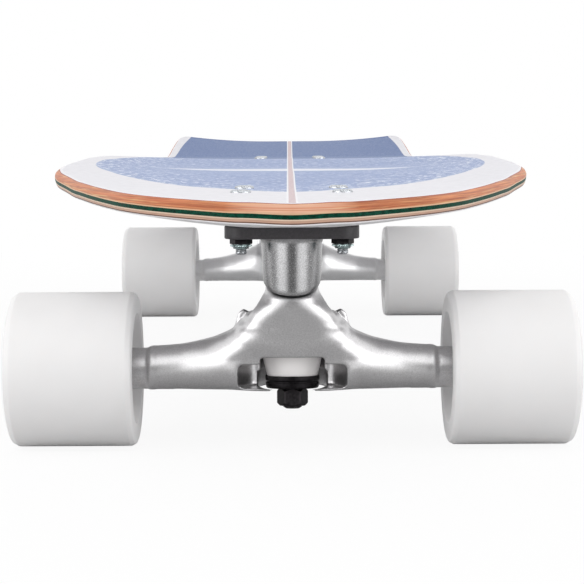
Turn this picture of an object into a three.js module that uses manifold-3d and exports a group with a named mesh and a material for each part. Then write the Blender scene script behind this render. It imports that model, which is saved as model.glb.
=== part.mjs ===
// Surf skateboard: a cambered maple deck on two tall cast steering trucks with four wheels.
// Lengths are millimetres, angles are degrees. +Z is up, the nose points to -Y, and the
// origin is on the floor under the middle of the board.

import * as THREE from 'three';
import { mergeVertices } from 'three/addons/utils/BufferGeometryUtils.js';
import Module from 'manifold-3d';

const wasm = await Module();
wasm.setup();

// Fits shared by all pieces
const looseGap = 0.3;
const faceGap = 0.1;
const cutOverrun = 2;
const halfShare = 0.5;

// Faces round a turned piece
const wheelSides = 32;
const ringSides = 16;
const pinSides = 12;
const hexSides = 6;

// Whole board
const deckLength = 762;
const deckWidth = 260;
const frontAxleFromNose = 129;
const rearAxleFromTail = 148;

// Wheels
const rearArmExtra = 2.2;
const wheelDiameter = 65;
const wheelWidth = 52;
const wheelInnerFace = 65.5;
const innerOpeningRadius = 23.6;
const outerOpeningRadius = 22;
const treadLip = 3.6;
const treadLipShare = 0.3;
const openingLip = 0.9;
const innerRecessDepth = 11;
const outerRecessDepth = 9.2;
const recessFloorRadius = 14.5;

// Bearings and the sleeve between them
const bearingOuterRadius = 10.85;
const bearingWidth = 7;
const innerRingRadius = 5.9;

// Axles
const axleRadius = 4;
const axleEndInset = 1.2;
const axleRootX = 26;
const axleChamfer = 0.8;
const axleNutFlats = 13;
const axleNutHeight = 6.9;

// Mounting plate and its bolt pattern
const plateTop = 94.1;
const plateThickness = 5.1;
const plateSideMargin = 6.55;
const plateEndMargin = 12;
const plateCornerRadius = 7;
const boltRowFront = 21;
const boltRowRear = 33;
const boltSpread = 41.3;
const boltRadius = 2.4;
const boltHeadRadius = 4.2;
const boltHeadHeight = 1.7;
const boltHoleRadius = 2.8;
const boltNutFlats = 8;
const boltNutHeight = 3.8;
const boltTipLength = 2.4;
const riserThickness = 7.5;

// Pivot tower
const towerRadiusTop = 12.7;
const towerRadiusBottom = 11.6;
const towerY = -13;
const towerFoot = 60;
const spigotRadius = 8.5;
const spigotInset = 0.5;
const bossRadius = 9.6;

// Steering axis: a ball in the tower above, the ring round the kingpin below
const steeringTilt = 24;
const pivotMouthY = -12.5;
const pivotMouthZ = 70;
const ringZ = 42.5;
const collarGap = 0.9;
const ballRadius = 5.2;
const ballHeight = 7;
const stemRadius = 4.2;
const cupWall = 1.4;
const cupRoof = 2.4;
const cupMouthInset = 0.8;

// Kingpin and what it clamps, as heights along the kingpin above the ring
const kingpinTilt = 5;
const kingpinRadius = 3.9;
const kingpinEnd = -28;
const kingpinEndChamfer = 0.7;
const flangeRadius = 10;
const flangeLow = 17.9;
const flangeThickness = 2.2;
const shoulderRadius = 5.2;
const shoulderTop = 31.2;
const kingpinHeadRadius = 7.2;
const kingpinHeadLow = 41.4;
const kingpinHeadHeight = 4.2;
const ringHoleRadius = 5.7;
const ringTop = 4.6;
const ringSeat = -2.2;
const upperBushingRadius = 12;
const upperBushingWaist = 11.3;
const lowerBushingTopRadius = 12.3;
const lowerBushingBottomRadius = 9.9;
const lowerBushingShoulder = -4.4;
const cupFloor = -14.9;
const cupLip = -12.9;
const cupBase = -18.2;
const cupOuterRadius = 11.4;
const cupBaseRadius = 10.9;
const kingpinNutFlats = 13;
const kingpinNutHeight = 7.4;

// Hanger casting
const axleHeight = wheelDiameter * halfShare;
const hangerFloor = 23.4;
const kneeHeight = 38;
const faceLeanShare = 0.28;
const neckFront = 24.4;
const collarBack = 6.8;
const collarUnderZ = 67.4;
const neckBackY = 13.6;
const neckBackZ = 60;
const earTipY = 4;
const earTipZ = 57.4;
const wallRearY = 16.5;
const wallRearTopZ = 47.5;
const pocketRadius = 15.2;
const windowHalfWidth = 22.4;
const windowLow = 27.2;
const windowHigh = 36.2;
const cavityBack = 11;
const notchRadius = 14.6;
const seatRadius = 12.9;
const armEndRadius = 8.9;
const armEndChamfer = 2.6;
const armTipRadius = 6.4;
const armCollarX = 59.5;
const armRootX = 36;
const cornerSteps = 4;
const fullRound = 50;
const earInnerX = 17;
const earOuterX = 25;
const earCrestX = 20.6;
const earShoulderX = 22.8;
const earShoulderZ = 55.6;
const earFootZ = 48;
const earThickness = 4.5;

// Sections across the hanger from its middle outwards: distance from the middle, bottom and
// top height, reach to the front and to the rear, corner radius and share of the face's lean
const hangerSections = [
  [10.9, 24.1, 78, 17, 16.5, 4, 1],
  [11.1, 24.1, 66.2, 17, 16.5, 4, 1],
  [13.6, 24.1, 61, 17, 16.5, 4, 1],
  [16.8, 24.1, 57.2, 17, 16.5, 5, 1],
  [20.4, 24.1, 54.2, 16.6, 16.2, 6, 1],
  [24.4, 24.1, 51, 15.8, 15.6, 7.5, 0.9],
  [28.2, 24.1, 48.2, 14.6, 14.6, 9, 0.75],
  [33.6, 24.1, 45.6, 12.5, 12.5, fullRound, 0.5],
  [39, 24.1, 44.6, 10.9, 10.9, fullRound, 0.2],
  [47.1, 24, 42.9, 9.7, 9.7, fullRound, 0],
  [armCollarX, 23.7, 42.1, 9.2, 9.2, fullRound, 0],
];

// Deck
const deckThickness = 13.2;
const railThickness = 7.3;
const railShoulder = 3.4;
const concaveDepth = 5.2;
const tailKick = 11.7;
const headSeatDepth = 0.4;
const headSeatRadius = 5;

// Cross sections of the deck by stretch, each with its share of the way along the stretch, of
// the half width, of the rise to the rear truck, of the tail kick, of the concave and of the
// thickness in the middle
const flatReach = 48.6;
const tailLength = 104;
const noseSectionShares = [
  [0, 0.03, 0.02, 0, 0, 0.55],
  [0.014, 0.058, 0.02, 0, 0.02, 0.56],
  [0.038, 0.104, 0.02, 0, 0.05, 0.57],
  [0.084, 0.163, 0.01, 0, 0.09, 0.6],
  [0.189, 0.257, 0, 0, 0.16, 0.67],
  [0.287, 0.345, 0, 0, 0.22, 0.78],
  [0.394, 0.433, 0, 0, 0.29, 0.9],
  [0.528, 0.523, 0, 0, 0.38, 1],
  [0.631, 0.577, 0, 0, 0.46, 1],
  [0.794, 0.656, 0, 0, 0.59, 1],
  [1, 0.742, 0, 0, 0.74, 1],
];
const middleSectionShares = [
  [0.114, 0.829, 0.14, 0, 0.74, 1],
  [0.224, 0.912, 0.32, 0, 0.74, 1],
  [0.318, 0.961, 0.45, 0, 0.78, 1],
  [0.489, 0.996, 0.45, 0, 1.04, 1],
  [0.608, 1, 0.45, 0, 1.22, 1],
  [0.731, 0.993, 0.45, 0, 1.38, 1],
  [0.858, 0.968, 0.76, 0, 0.96, 1],
  [1, 0.898, 1, 0, 0.46, 1],
];
const rearSectionShares = [
  [0.477, 0.797, 1, 0, 0.22, 1],
  [0.8, 0.742, 1, 0, 0.1, 1],
  [1, 0.722, 1, 0.02, 0.09, 1],
];
const tailSectionShares = [
  [0.158, 0.716, 1, 0.16, 0.15, 0.98],
  [0.413, 0.711, 1, 0.43, 0.38, 0.92],
  [0.707, 0.703, 1, 0.74, 0.64, 0.8],
  [0.89, 0.694, 1, 0.92, 0.78, 0.7],
  [0.963, 0.68, 1, 0.98, 0.8, 0.66],
  [1, 0.65, 1, 1, 0.8, 0.64],
];
const deckColumnShares = [0.2, 0.5, 0.78];
const topEdgeShare = 0.968;
const bottomEdgeShare = 0.988;
const flatPanelShare = 0.2;
const concavePower = 2;
const bellyPower = 1.5;

// Sizes that follow from the ones above
const wheelRadius = wheelDiameter * halfShare;
const deckHalfLength = deckLength * halfShare;
const frontAxleY = frontAxleFromNose - deckHalfLength;
const rearAxleY = deckHalfLength - rearAxleFromTail;
const plateWidth = boltSpread + 2 * plateSideMargin;
const plateFrontReach = boltRowFront + plateEndMargin;
const plateRearReach = boltRowRear + plateEndMargin;
const axleEndX = wheelInnerFace + wheelWidth - axleEndInset;
const armEndX = wheelInnerFace + innerRecessDepth - 2 * looseGap;
const plateBottom = plateTop - plateThickness;
const deckTopFront = plateTop + deckThickness;
const tiltAngle = THREE.MathUtils.degToRad(steeringTilt);
const pinAngle = THREE.MathUtils.degToRad(kingpinTilt);
const steeringAxis = new THREE.Vector3(0, -Math.sin(tiltAngle), Math.cos(tiltAngle));
const pinAxis = new THREE.Vector3(0, Math.sin(pinAngle), Math.cos(pinAngle));
const pivotMouth = new THREE.Vector3(0, pivotMouthY, pivotMouthZ);
const ringY = pivotMouthY + (pivotMouthZ - ringZ) * Math.tan(tiltAngle);
const ringCentre = new THREE.Vector3(0, ringY, ringZ);
const cupInnerRadius = ballRadius + looseGap;
const cupRadius = cupInnerRadius + cupWall;
const cupInnerTop = ballHeight + ballRadius + looseGap;
const cupTop = cupInnerTop + cupRoof;

// Solids

function solidOf(geometry) {
  const bare = geometry.clone();
  bare.deleteAttribute('normal');
  bare.deleteAttribute('uv');
  const merged = mergeVertices(bare);
  const corners = merged.index.array;
  const kept = [];
  for (let i = 0; i < corners.length; i += 3) {
    const [a, b, c] = [corners[i], corners[i + 1], corners[i + 2]];
    if (a !== b && b !== c && c !== a) {
      kept.push(a, b, c);
    }
  }
  const vertProperties = new Float32Array(merged.attributes.position.array);
  const triVerts = new Uint32Array(kept);
  return new wasm.Manifold(new wasm.Mesh({ numProp: 3, vertProperties, triVerts }));
}

function geometryOf(solid) {
  const mesh = solid.getMesh();
  const geometry = new THREE.BufferGeometry();
  geometry.setAttribute('position', new THREE.BufferAttribute(mesh.vertProperties, 3));
  geometry.setIndex(new THREE.BufferAttribute(mesh.triVerts, 1));
  return geometry;
}

function joined(solids) {
  return solids.reduce((whole, next) => whole.add(next));
}

function cutBy(solid, tools) {
  return tools.reduce((rest, tool) => rest.subtract(tool), solid);
}

// A turned body: profile points are [radius, height], anticlockwise, and close on themselves
// unless they start and end on the axis
function turned(profile, sides) {
  const points = profile.map(([radius, height]) => new THREE.Vector2(radius, height));
  const onAxis = profile[0][0] === 0 && profile[profile.length - 1][0] === 0;
  if (!onAxis) {
    points.push(points[0].clone());
  }
  return new THREE.LatheGeometry(points, sides);
}

function disc(radius, low, high, sides) {
  return turned([[0, low], [radius, low], [radius, high], [0, high]], sides);
}

function tube(inner, outer, low, high, sides) {
  return turned([[inner, low], [outer, low], [outer, high], [inner, high]], sides);
}

// Turned bodies stand along +Y until one of these lays them on their own axis
function standingAt(geometry, x, y) {
  return geometry.rotateX(Math.PI * halfShare).translate(x, y, 0);
}

function alongX(geometry) {
  return geometry.rotateZ(-Math.PI * halfShare);
}

function alongAxis(geometry, direction, origin) {
  const turn = new THREE.Quaternion().setFromUnitVectors(new THREE.Vector3(0, 1, 0), direction);
  return geometry.applyQuaternion(turn).translate(origin.x, origin.y, origin.z);
}

function onKingpin(geometry) {
  return alongAxis(geometry, pinAxis, ringCentre);
}

function onSteeringAxis(geometry) {
  return alongAxis(geometry, steeringAxis, pivotMouth);
}

function block(xRange, yRange, zRange) {
  const [x0, x1] = xRange;
  const [y0, y1] = yRange;
  const [z0, z1] = zRange;
  const box = new THREE.BoxGeometry(x1 - x0, y1 - y0, z1 - z0);
  return box.translate((x0 + x1) * halfShare, (y0 + y1) * halfShare, (z0 + z1) * halfShare);
}

function prism(points, depth, holes = []) {
  const shape = new THREE.Shape(points.map(([a, b]) => new THREE.Vector2(a, b)));
  shape.holes = holes;
  return new THREE.ExtrudeGeometry(shape, { depth, bevelEnabled: false, curveSegments: pinSides });
}

function roundHole(x, y, radius) {
  const path = new THREE.Path();
  for (let i = 0; i < pinSides; i += 1) {
    const angle = (2 * Math.PI * i) / pinSides;
    const point = [x + radius * Math.cos(angle), y + radius * Math.sin(angle)];
    if (i === 0) {
      path.moveTo(...point);
    } else {
      path.lineTo(...point);
    }
  }
  path.closePath();
  return path;
}

// A six-sided nut along +Y with a round bore
function hexNut(flats, bore, height) {
  const cornerRadius = (flats * halfShare) / Math.cos(Math.PI / hexSides);
  const corners = [];
  for (let i = 0; i < hexSides; i += 1) {
    const angle = (2 * Math.PI * i) / hexSides;
    corners.push([cornerRadius * Math.cos(angle), cornerRadius * Math.sin(angle)]);
  }
  const nut = prism(corners, height, [roundHole(0, 0, bore)]);
  return nut.rotateX(-Math.PI * halfShare);
}

// Triangles that fill a ring, each running round the way the ring does
function ringTriangles(ring, [first, second]) {
  const flat = ring.map((point) => new THREE.Vector2(point[first], point[second]));
  const triangles = THREE.ShapeUtils.triangulateShape(flat, []);
  const backwards = THREE.ShapeUtils.area(flat) < 0;
  return backwards ? triangles.map(([a, b, c]) => [a, c, b]) : triangles;
}

// A skin through rings of points, closed by flat ends: every ring has as many points
function lofted(rings, capPlane) {
  const count = rings[0].length;
  const positions = rings.flat(2);
  const faces = [];
  for (let r = 0; r < rings.length - 1; r += 1) {
    for (let i = 0; i < count; i += 1) {
      const next = (i + 1) % count;
      const a = r * count + i;
      const b = r * count + next;
      const c = (r + 1) * count + next;
      const d = (r + 1) * count + i;
      faces.push(a, b, c, a, c, d);
    }
  }
  const lastRing = (rings.length - 1) * count;
  for (const [a, b, c] of ringTriangles(rings[0], capPlane)) {
    faces.push(a, c, b);
  }
  for (const [a, b, c] of ringTriangles(rings[rings.length - 1], capPlane)) {
    faces.push(lastRing + a, lastRing + b, lastRing + c);
  }
  const geometry = new THREE.BufferGeometry();
  geometry.setAttribute('position', new THREE.Float32BufferAttribute(positions, 3));
  geometry.setIndex(faces);
  return geometry;
}

// Deck

// How far a point across the deck has risen from the flat panel to the edge
function riseShareAt(across, edge, power) {
  const beyond = Math.max(0, Math.abs(across) - flatPanelShare) / (edge - flatPanelShare);
  return beyond ** power;
}

function deckRing([y, width, lift, kick, concave, thickness]) {
  const halfWidth = width * deckWidth * halfShare;
  const middleTop = deckTopFront + lift * riserThickness + kick * tailKick;
  const middleBottom = middleTop - thickness * deckThickness;
  const railTop = middleTop + concave * concaveDepth;
  const railMiddle = railTop - railShoulder;
  const railBottom = railTop - railThickness;
  const topPoint = (across) => {
    const rise = riseShareAt(across, topEdgeShare, concavePower);
    return [across * halfWidth, y, middleTop + (railTop - middleTop) * rise];
  };
  const bottomPoint = (across) => {
    const rise = riseShareAt(across, bottomEdgeShare, bellyPower);
    return [across * halfWidth, y, middleBottom + (railBottom - middleBottom) * rise];
  };
  const bottomShares = [...deckColumnShares, bottomEdgeShare];
  const topShares = [...deckColumnShares, topEdgeShare];
  return [
    ...[...bottomShares].reverse().map((share) => bottomPoint(-share)),
    ...bottomShares.map((share) => bottomPoint(share)),
    [halfWidth, y, railMiddle],
    ...[...topShares].reverse().map((share) => topPoint(share)),
    ...topShares.map((share) => topPoint(-share)),
    [-halfWidth, y, railMiddle],
  ];
}

// The stretches run from the nose over the front truck's flat, the middle and the rear
// truck's flat to the tail, so the flats stay over their trucks
function deckSections() {
  const stretches = [
    [-deckHalfLength, frontAxleY + flatReach, noseSectionShares],
    [frontAxleY + flatReach, rearAxleY - flatReach, middleSectionShares],
    [rearAxleY - flatReach, deckHalfLength - tailLength, rearSectionShares],
    [deckHalfLength - tailLength, deckHalfLength, tailSectionShares],
  ];
  return stretches.flatMap(([start, end, sections]) =>
    sections.map(([along, ...shares]) => [start + (end - start) * along, ...shares]),
  );
}

function boltPlaces(truckY, facing) {
  const places = [];
  for (const row of [-boltRowFront, boltRowRear]) {
    for (const side of [-1, 1]) {
      places.push([side * boltSpread * halfShare, truckY + facing * row]);
    }
  }
  return places;
}

const trucks = [
  { name: 'front', y: frontAxleY, facing: 1, riser: 0, reach: 0 },
  { name: 'rear', y: rearAxleY, facing: -1, riser: riserThickness, reach: rearArmExtra },
];

function deckTopAt(truck) {
  return deckTopFront + truck.riser;
}

function makeDeck() {
  const rings = deckSections().reverse().map(deckRing);
  const body = solidOf(lofted(rings, [0, 2]));
  const cuts = [];
  for (const truck of trucks) {
    const seat = deckTopAt(truck) - headSeatDepth;
    for (const [x, y] of boltPlaces(truck.y, truck.facing)) {
      const low = plateTop - cutOverrun;
      const high = seat + deckThickness;
      cuts.push(solidOf(standingAt(disc(boltHoleRadius, low, high, pinSides), x, y)));
      cuts.push(solidOf(standingAt(disc(headSeatRadius, seat, high, pinSides), x, y)));
    }
  }
  return geometryOf(cutBy(body, cuts));
}

// Plates and riser, in a truck's own frame: the axle at y = 0, the outer end at -Y

function plateOutline() {
  const half = plateWidth * halfShare;
  const shape = new THREE.Shape();
  const r = plateCornerRadius;
  const front = -plateFrontReach;
  const rear = plateRearReach;
  shape.moveTo(-half + r, front);
  shape.lineTo(half - r, front);
  shape.absarc(half - r, front + r, r, -Math.PI * halfShare, 0);
  shape.lineTo(half, rear - r);
  shape.absarc(half - r, rear - r, r, 0, Math.PI * halfShare);
  shape.lineTo(-half + r, rear);
  shape.absarc(-half + r, rear - r, r, Math.PI * halfShare, Math.PI);
  shape.lineTo(-half, front + r);
  shape.absarc(-half + r, front + r, r, Math.PI, Math.PI * (1 + halfShare));
  shape.holes = boltPlaces(0, 1).map(([x, y]) => roundHole(x, y, boltHoleRadius));
  return shape;
}

const plateArcSteps = 3;

function slab(low, high) {
  const options = { depth: high - low, bevelEnabled: false, curveSegments: plateArcSteps };
  return new THREE.ExtrudeGeometry(plateOutline(), options).translate(0, 0, low);
}

function makePlate() {
  const hole = disc(spigotRadius + looseGap, plateBottom - cutOverrun, plateTop + cutOverrun, ringSides);
  return geometryOf(solidOf(slab(plateBottom, plateTop)).subtract(solidOf(standingAt(hole, 0, towerY))));
}

function makeRiser() {
  return slab(plateTop + faceGap, plateTop + riserThickness);
}

// Tower, pivot cup and kingpin stack

function makeTower() {
  const top = plateBottom - faceGap;
  const barrel = turned(
    [[0, towerFoot], [towerRadiusBottom, towerFoot], [towerRadiusTop, top], [0, top]],
    ringSides,
  );
  const spigot = disc(spigotRadius, top - cutOverrun, plateTop - spigotInset, ringSides);
  const bossTop = kingpinHeadLow + deckThickness;
  const boss = disc(bossRadius, shoulderTop + faceGap, bossTop, ringSides);
  const aboveTop = block(
    [-plateWidth, plateWidth],
    [-plateWidth, plateWidth],
    [top, top + plateWidth],
  );
  const mouthSide = block([-plateWidth, plateWidth], [-plateWidth, 0], [-plateWidth, plateWidth]);
  const pivotBore = disc(cupRadius + looseGap, -cutOverrun, cupTop + looseGap, ringSides);
  const shankBore = disc(kingpinRadius + looseGap, 0, bossTop, pinSides);
  const headBore = disc(kingpinHeadRadius + looseGap, kingpinHeadLow - faceGap, bossTop, pinSides);
  const mouthCut = solidOf(standingAt(barrel, 0, towerY)).subtract(solidOf(onSteeringAxis(mouthSide)));
  const cut = cutBy(mouthCut.add(solidOf(onKingpin(boss))), [
    solidOf(aboveTop),
    solidOf(onSteeringAxis(pivotBore)),
    solidOf(onKingpin(shankBore)),
    solidOf(onKingpin(headBore)),
  ]);
  return geometryOf(cut.add(solidOf(standingAt(spigot, 0, towerY))));
}

function makePivotCup() {
  const profile = [
    [0, cupInnerTop],
    [cupInnerRadius, cupInnerTop],
    [cupInnerRadius, cupMouthInset],
    [cupRadius, cupMouthInset],
    [cupRadius, cupTop],
    [0, cupTop],
  ];
  return onSteeringAxis(turned(profile, ringSides));
}

function makeKingpin() {
  const headTop = kingpinHeadLow + kingpinHeadHeight;
  const profile = [
    [0, kingpinEnd],
    [kingpinRadius - kingpinEndChamfer, kingpinEnd],
    [kingpinRadius, kingpinEnd + kingpinEndChamfer],
    [kingpinRadius, flangeLow],
    [flangeRadius, flangeLow],
    [flangeRadius, flangeLow + flangeThickness],
    [shoulderRadius, flangeLow + flangeThickness],
    [shoulderRadius, shoulderTop],
    [kingpinRadius, shoulderTop],
    [kingpinRadius, kingpinHeadLow],
    [kingpinHeadRadius, kingpinHeadLow],
    [kingpinHeadRadius, headTop],
    [0, headTop],
  ];
  return onKingpin(turned(profile, pinSides));
}

function makeUpperBushing() {
  const low = ringTop + faceGap;
  const high = flangeLow - faceGap;
  const middle = (low + high) * halfShare;
  const bore = kingpinRadius + looseGap;
  const profile = [
    [bore, low],
    [upperBushingRadius, low],
    [upperBushingWaist, middle],
    [upperBushingRadius, high],
    [bore, high],
  ];
  return onKingpin(turned(profile, ringSides));
}

function makeLowerBushing() {
  const low = cupFloor + faceGap;
  const high = ringSeat - faceGap;
  const bore = kingpinRadius + looseGap;
  const profile = [
    [bore, low],
    [lowerBushingBottomRadius, low],
    [lowerBushingTopRadius, lowerBushingShoulder],
    [lowerBushingTopRadius, high],
    [bore, high],
  ];
  return onKingpin(turned(profile, ringSides));
}

function makeCupWasher() {
  const bore = kingpinRadius + looseGap;
  const cupSide = lowerBushingBottomRadius + 2 * looseGap;
  const profile = [
    [bore, cupBase],
    [cupBaseRadius, cupBase],
    [cupOuterRadius, cupFloor],
    [cupOuterRadius, cupLip],
    [cupSide + looseGap, cupLip],
    [cupSide, cupFloor],
    [bore, cupFloor],
  ];
  return onKingpin(turned(profile, ringSides));
}

function makeKingpinNut() {
  const low = cupBase - faceGap - kingpinNutHeight;
  const nut = hexNut(kingpinNutFlats, kingpinRadius + looseGap, kingpinNutHeight);
  return onKingpin(nut.translate(0, low, 0));
}

// Hanger: the casting that carries both axles

// A point raised above the knee leans forward with the face
function leaning([x, y, z], leanShare) {
  return [x, y - Math.max(0, z - kneeHeight) * faceLeanShare * leanShare, z];
}

// One section of the casting: a round-cornered outline with a bend at the knee
function hangerRing([x, bottom, top, front, rear, corner, leanShare]) {
  const cornerY = Math.min(corner, (rear + front) * halfShare);
  const cornerZ = Math.min(corner, (top - bottom) * halfShare);
  const knee = Math.min(Math.max(kneeHeight, bottom + cornerZ), top - cornerZ);
  const corners = [
    [rear - cornerY, top - cornerZ, 0],
    [cornerY - front, top - cornerZ, 1],
    [cornerY - front, bottom + cornerZ, 2],
    [rear - cornerY, bottom + cornerZ, 3],
  ];
  const ring = [];
  for (const [y, z, quarter] of corners) {
    for (let i = 0; i <= cornerSteps; i += 1) {
      const angle = (quarter + i / cornerSteps) * Math.PI * halfShare;
      ring.push([x, y + cornerY * Math.cos(angle), z + cornerZ * Math.sin(angle)]);
    }
    if (quarter === 1) {
      ring.push([x, -front, knee]);
    }
  }
  ring.push([x, rear, knee]);
  return ring.map((point) => leaning(point, leanShare));
}

function roundSection(x, radius) {
  return [x, axleHeight - radius, axleHeight + radius, radius, radius, radius, 0];
}

// A small cast ear on top of each rear wall
function makeEar(side) {
  const profile = [
    [earInnerX, earFootZ],
    [earOuterX, earFootZ],
    [earShoulderX, earShoulderZ],
    [earCrestX, earTipZ],
    [earInnerX, earShoulderZ],
  ];
  const ear = prism(profile.map(([x, z]) => [side * x, z]), earThickness);
  return solidOf(ear.rotateX(Math.PI * halfShare).translate(0, earTipY + earThickness * halfShare, 0));
}

function makeCasting(reach) {
  const ends = [
    roundSection(armCollarX + looseGap, armEndRadius),
    roundSection(armEndX - armEndChamfer, armEndRadius),
    roundSection(armEndX, armTipRadius),
  ];
  const stretched = ([x, ...rest]) => [x < armRootX ? x : x + reach, ...rest];
  const right = [...hangerSections, ...ends].map(stretched);
  const left = [...right].reverse().map(([x, ...rest]) => [-x, ...rest]);
  return solidOf(lofted([...left, ...right].map(hangerRing), [1, 2]));
}

// The collar's top lies square to the steering axis, a small gap under the tower's mouth
function collarHeightAt(y) {
  const low = pivotMouth.clone().addScaledVector(steeringAxis, -collarGap);
  return low.z + (y - low.y) * Math.tan(tiltAngle);
}

// The casting's outline seen from the side: floor, rear wall, ears, pocket front and collar
function hangerSideSolid() {
  const profile = [
    [-neckFront, hangerFloor],
    [wallRearY, hangerFloor],
    [wallRearY, wallRearTopZ],
    [earTipY + earThickness, earTipZ],
    [-neckBackY, earTipZ],
    [-neckBackY, neckBackZ],
    [-collarBack, collarUnderZ],
    [-collarBack, collarHeightAt(-collarBack)],
    [-neckFront, collarHeightAt(-neckFront)],
  ];
  const halfSpan = armEndX + rearArmExtra;
  const side = prism(profile, 2 * halfSpan);
  side.rotateX(Math.PI * halfShare).rotateZ(Math.PI * halfShare);
  return solidOf(side.translate(-halfSpan, 0, 0));
}

function makeStem() {
  const profile = [[0, -collarGap - cutOverrun], [stemRadius, -collarGap - cutOverrun]];
  const neckAngle = Math.asin(stemRadius / ballRadius);
  const ballSteps = 5;
  for (let i = 0; i <= ballSteps; i += 1) {
    const angle = Math.PI - neckAngle - ((Math.PI - neckAngle) * i) / ballSteps;
    const radius = i === ballSteps ? 0 : ballRadius * Math.sin(angle);
    profile.push([radius, ballHeight + ballRadius * Math.cos(angle)]);
  }
  return solidOf(onSteeringAxis(turned(profile, pinSides)));
}

function makeHanger(reach) {
  const outside = -neckFront - cutOverrun;
  const shell = joined([makeCasting(reach), makeEar(1), makeEar(-1)]);
  const body = shell.intersect(hangerSideSolid());
  const windowX = [-windowHalfWidth, windowHalfWidth];
  const window = block(windowX, [outside, cavityBack], [windowLow, windowHigh]);
  const notch = disc(notchRadius, kingpinEnd, windowLow + cutOverrun - ringZ, ringSides);
  const notchX = [-notchRadius, notchRadius];
  const notchSlot = block(notchX, [outside, ringY], [0, windowLow + cutOverrun]);
  const seat = disc(seatRadius, windowLow - ringZ, ringSeat, ringSides);
  const seatX = [-seatRadius, seatRadius];
  const seatSlot = block(seatX, [outside, ringY], [windowLow, ringZ + ringSeat]);
  const pocket = disc(pocketRadius, ringTop, flangeLow + deckThickness, ringSides);
  const pocketX = [-pocketRadius, pocketRadius];
  const pocketSlot = block(pocketX, [ringY, wallRearY + cutOverrun], [ringZ + ringTop, pivotMouthZ]);
  const hole = disc(ringHoleRadius, ringSeat - cutOverrun, ringTop + cutOverrun, pinSides);
  const pocketCut = joined([solidOf(onKingpin(pocket)), solidOf(pocketSlot)]);
  const cut = cutBy(body, [
    solidOf(window),
    solidOf(notchSlot),
    solidOf(onKingpin(notch)),
    solidOf(onKingpin(seat)),
    solidOf(seatSlot),
    pocketCut.subtract(solidOf(pocketGuard())),
    solidOf(onKingpin(hole)),
    makeAxleBore(1, reach),
    makeAxleBore(-1, reach),
  ]);
  return geometryOf(cut.add(makeStem()));
}

function makeAxleBore(side, reach) {
  const low = axleRootX + reach - looseGap;
  const high = armEndX + reach + cutOverrun;
  const bore = disc(axleRadius + looseGap, low, high, pinSides);
  const laid = alongX(bore).translate(0, 0, axleHeight);
  return solidOf(side > 0 ? laid : laid.rotateZ(Math.PI));
}

// The neck and collar stay whole where the bushing pocket would cut them
function pocketGuard() {
  return block([-plateWidth, plateWidth], [-plateWidth, -collarBack + cutOverrun], [neckBackZ, plateTop]);
}

function makeAxle() {
  const profile = [
    [0, axleRootX],
    [axleRadius, axleRootX],
    [axleRadius, axleEndX - axleChamfer],
    [axleRadius - axleChamfer, axleEndX],
    [0, axleEndX],
  ];
  return alongX(turned(profile, pinSides)).translate(0, 0, axleHeight);
}

// Wheel and bearings, along +X from the truck's middle

function wheelX(fromInnerFace) {
  return wheelInnerFace + fromInnerFace;
}

const innerBearingStart = innerRecessDepth;
const outerBearingEnd = wheelWidth - outerRecessDepth;
const treadLipInset = treadLip * treadLipShare;

function makeTyre() {
  const seatRadiusInWheel = bearingOuterRadius + looseGap;
  const seatIn = innerBearingStart - looseGap;
  const seatOut = outerBearingEnd + looseGap;
  const profile = [
    [seatRadiusInWheel, seatIn],
    [recessFloorRadius, seatIn],
    [innerOpeningRadius - openingLip, openingLip],
    [innerOpeningRadius + openingLip, 0],
    [wheelRadius - treadLip, 0],
    [wheelRadius - treadLipInset, treadLipInset],
    [wheelRadius, treadLip],
    [wheelRadius, wheelWidth - treadLip],
    [wheelRadius - treadLipInset, wheelWidth - treadLipInset],
    [wheelRadius - treadLip, wheelWidth],
    [outerOpeningRadius + openingLip, wheelWidth],
    [outerOpeningRadius - openingLip, wheelWidth - openingLip],
    [recessFloorRadius, seatOut],
    [seatRadiusInWheel, seatOut],
  ];
  const placed = profile.map(([radius, along]) => [radius, wheelX(along)]);
  return alongX(turned(placed, wheelSides)).translate(0, 0, axleHeight);
}

function makeBearing(start) {
  const inner = innerRingRadius + looseGap;
  const ring = tube(inner, bearingOuterRadius, wheelX(start), wheelX(start + bearingWidth), ringSides);
  return alongX(ring).translate(0, 0, axleHeight);
}

function makeSleeve() {
  const bore = axleRadius + looseGap;
  const low = wheelX(innerBearingStart);
  const high = wheelX(outerBearingEnd);
  return alongX(tube(bore, innerRingRadius, low, high, ringSides)).translate(0, 0, axleHeight);
}

function makeAxleNut() {
  const nut = hexNut(axleNutFlats, axleRadius + looseGap, axleNutHeight);
  nut.translate(0, wheelX(outerBearingEnd) + looseGap, 0);
  return alongX(nut).translate(0, 0, axleHeight);
}

// Fasteners through plate and deck, standing at x = y = 0

function makeBolt(truck) {
  const seat = deckTopAt(truck) - headSeatDepth + faceGap;
  const tip = plateBottom - faceGap - boltNutHeight - boltTipLength;
  const profile = [
    [0, tip],
    [boltRadius, tip],
    [boltRadius, seat],
    [boltHeadRadius, seat],
    [boltHeadRadius, seat + boltHeadHeight],
    [0, seat + boltHeadHeight],
  ];
  return standingAt(turned(profile, pinSides), 0, 0);
}

function makeBoltNut() {
  const nut = hexNut(boltNutFlats, boltRadius + looseGap, boltNutHeight);
  nut.translate(0, plateBottom - faceGap - boltNutHeight, 0);
  return standingAt(nut, 0, 0);
}

// Finishes

function finish(colour, roughness, metalness) {
  return new THREE.MeshStandardMaterial({ color: colour, roughness, metalness });
}

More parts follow.
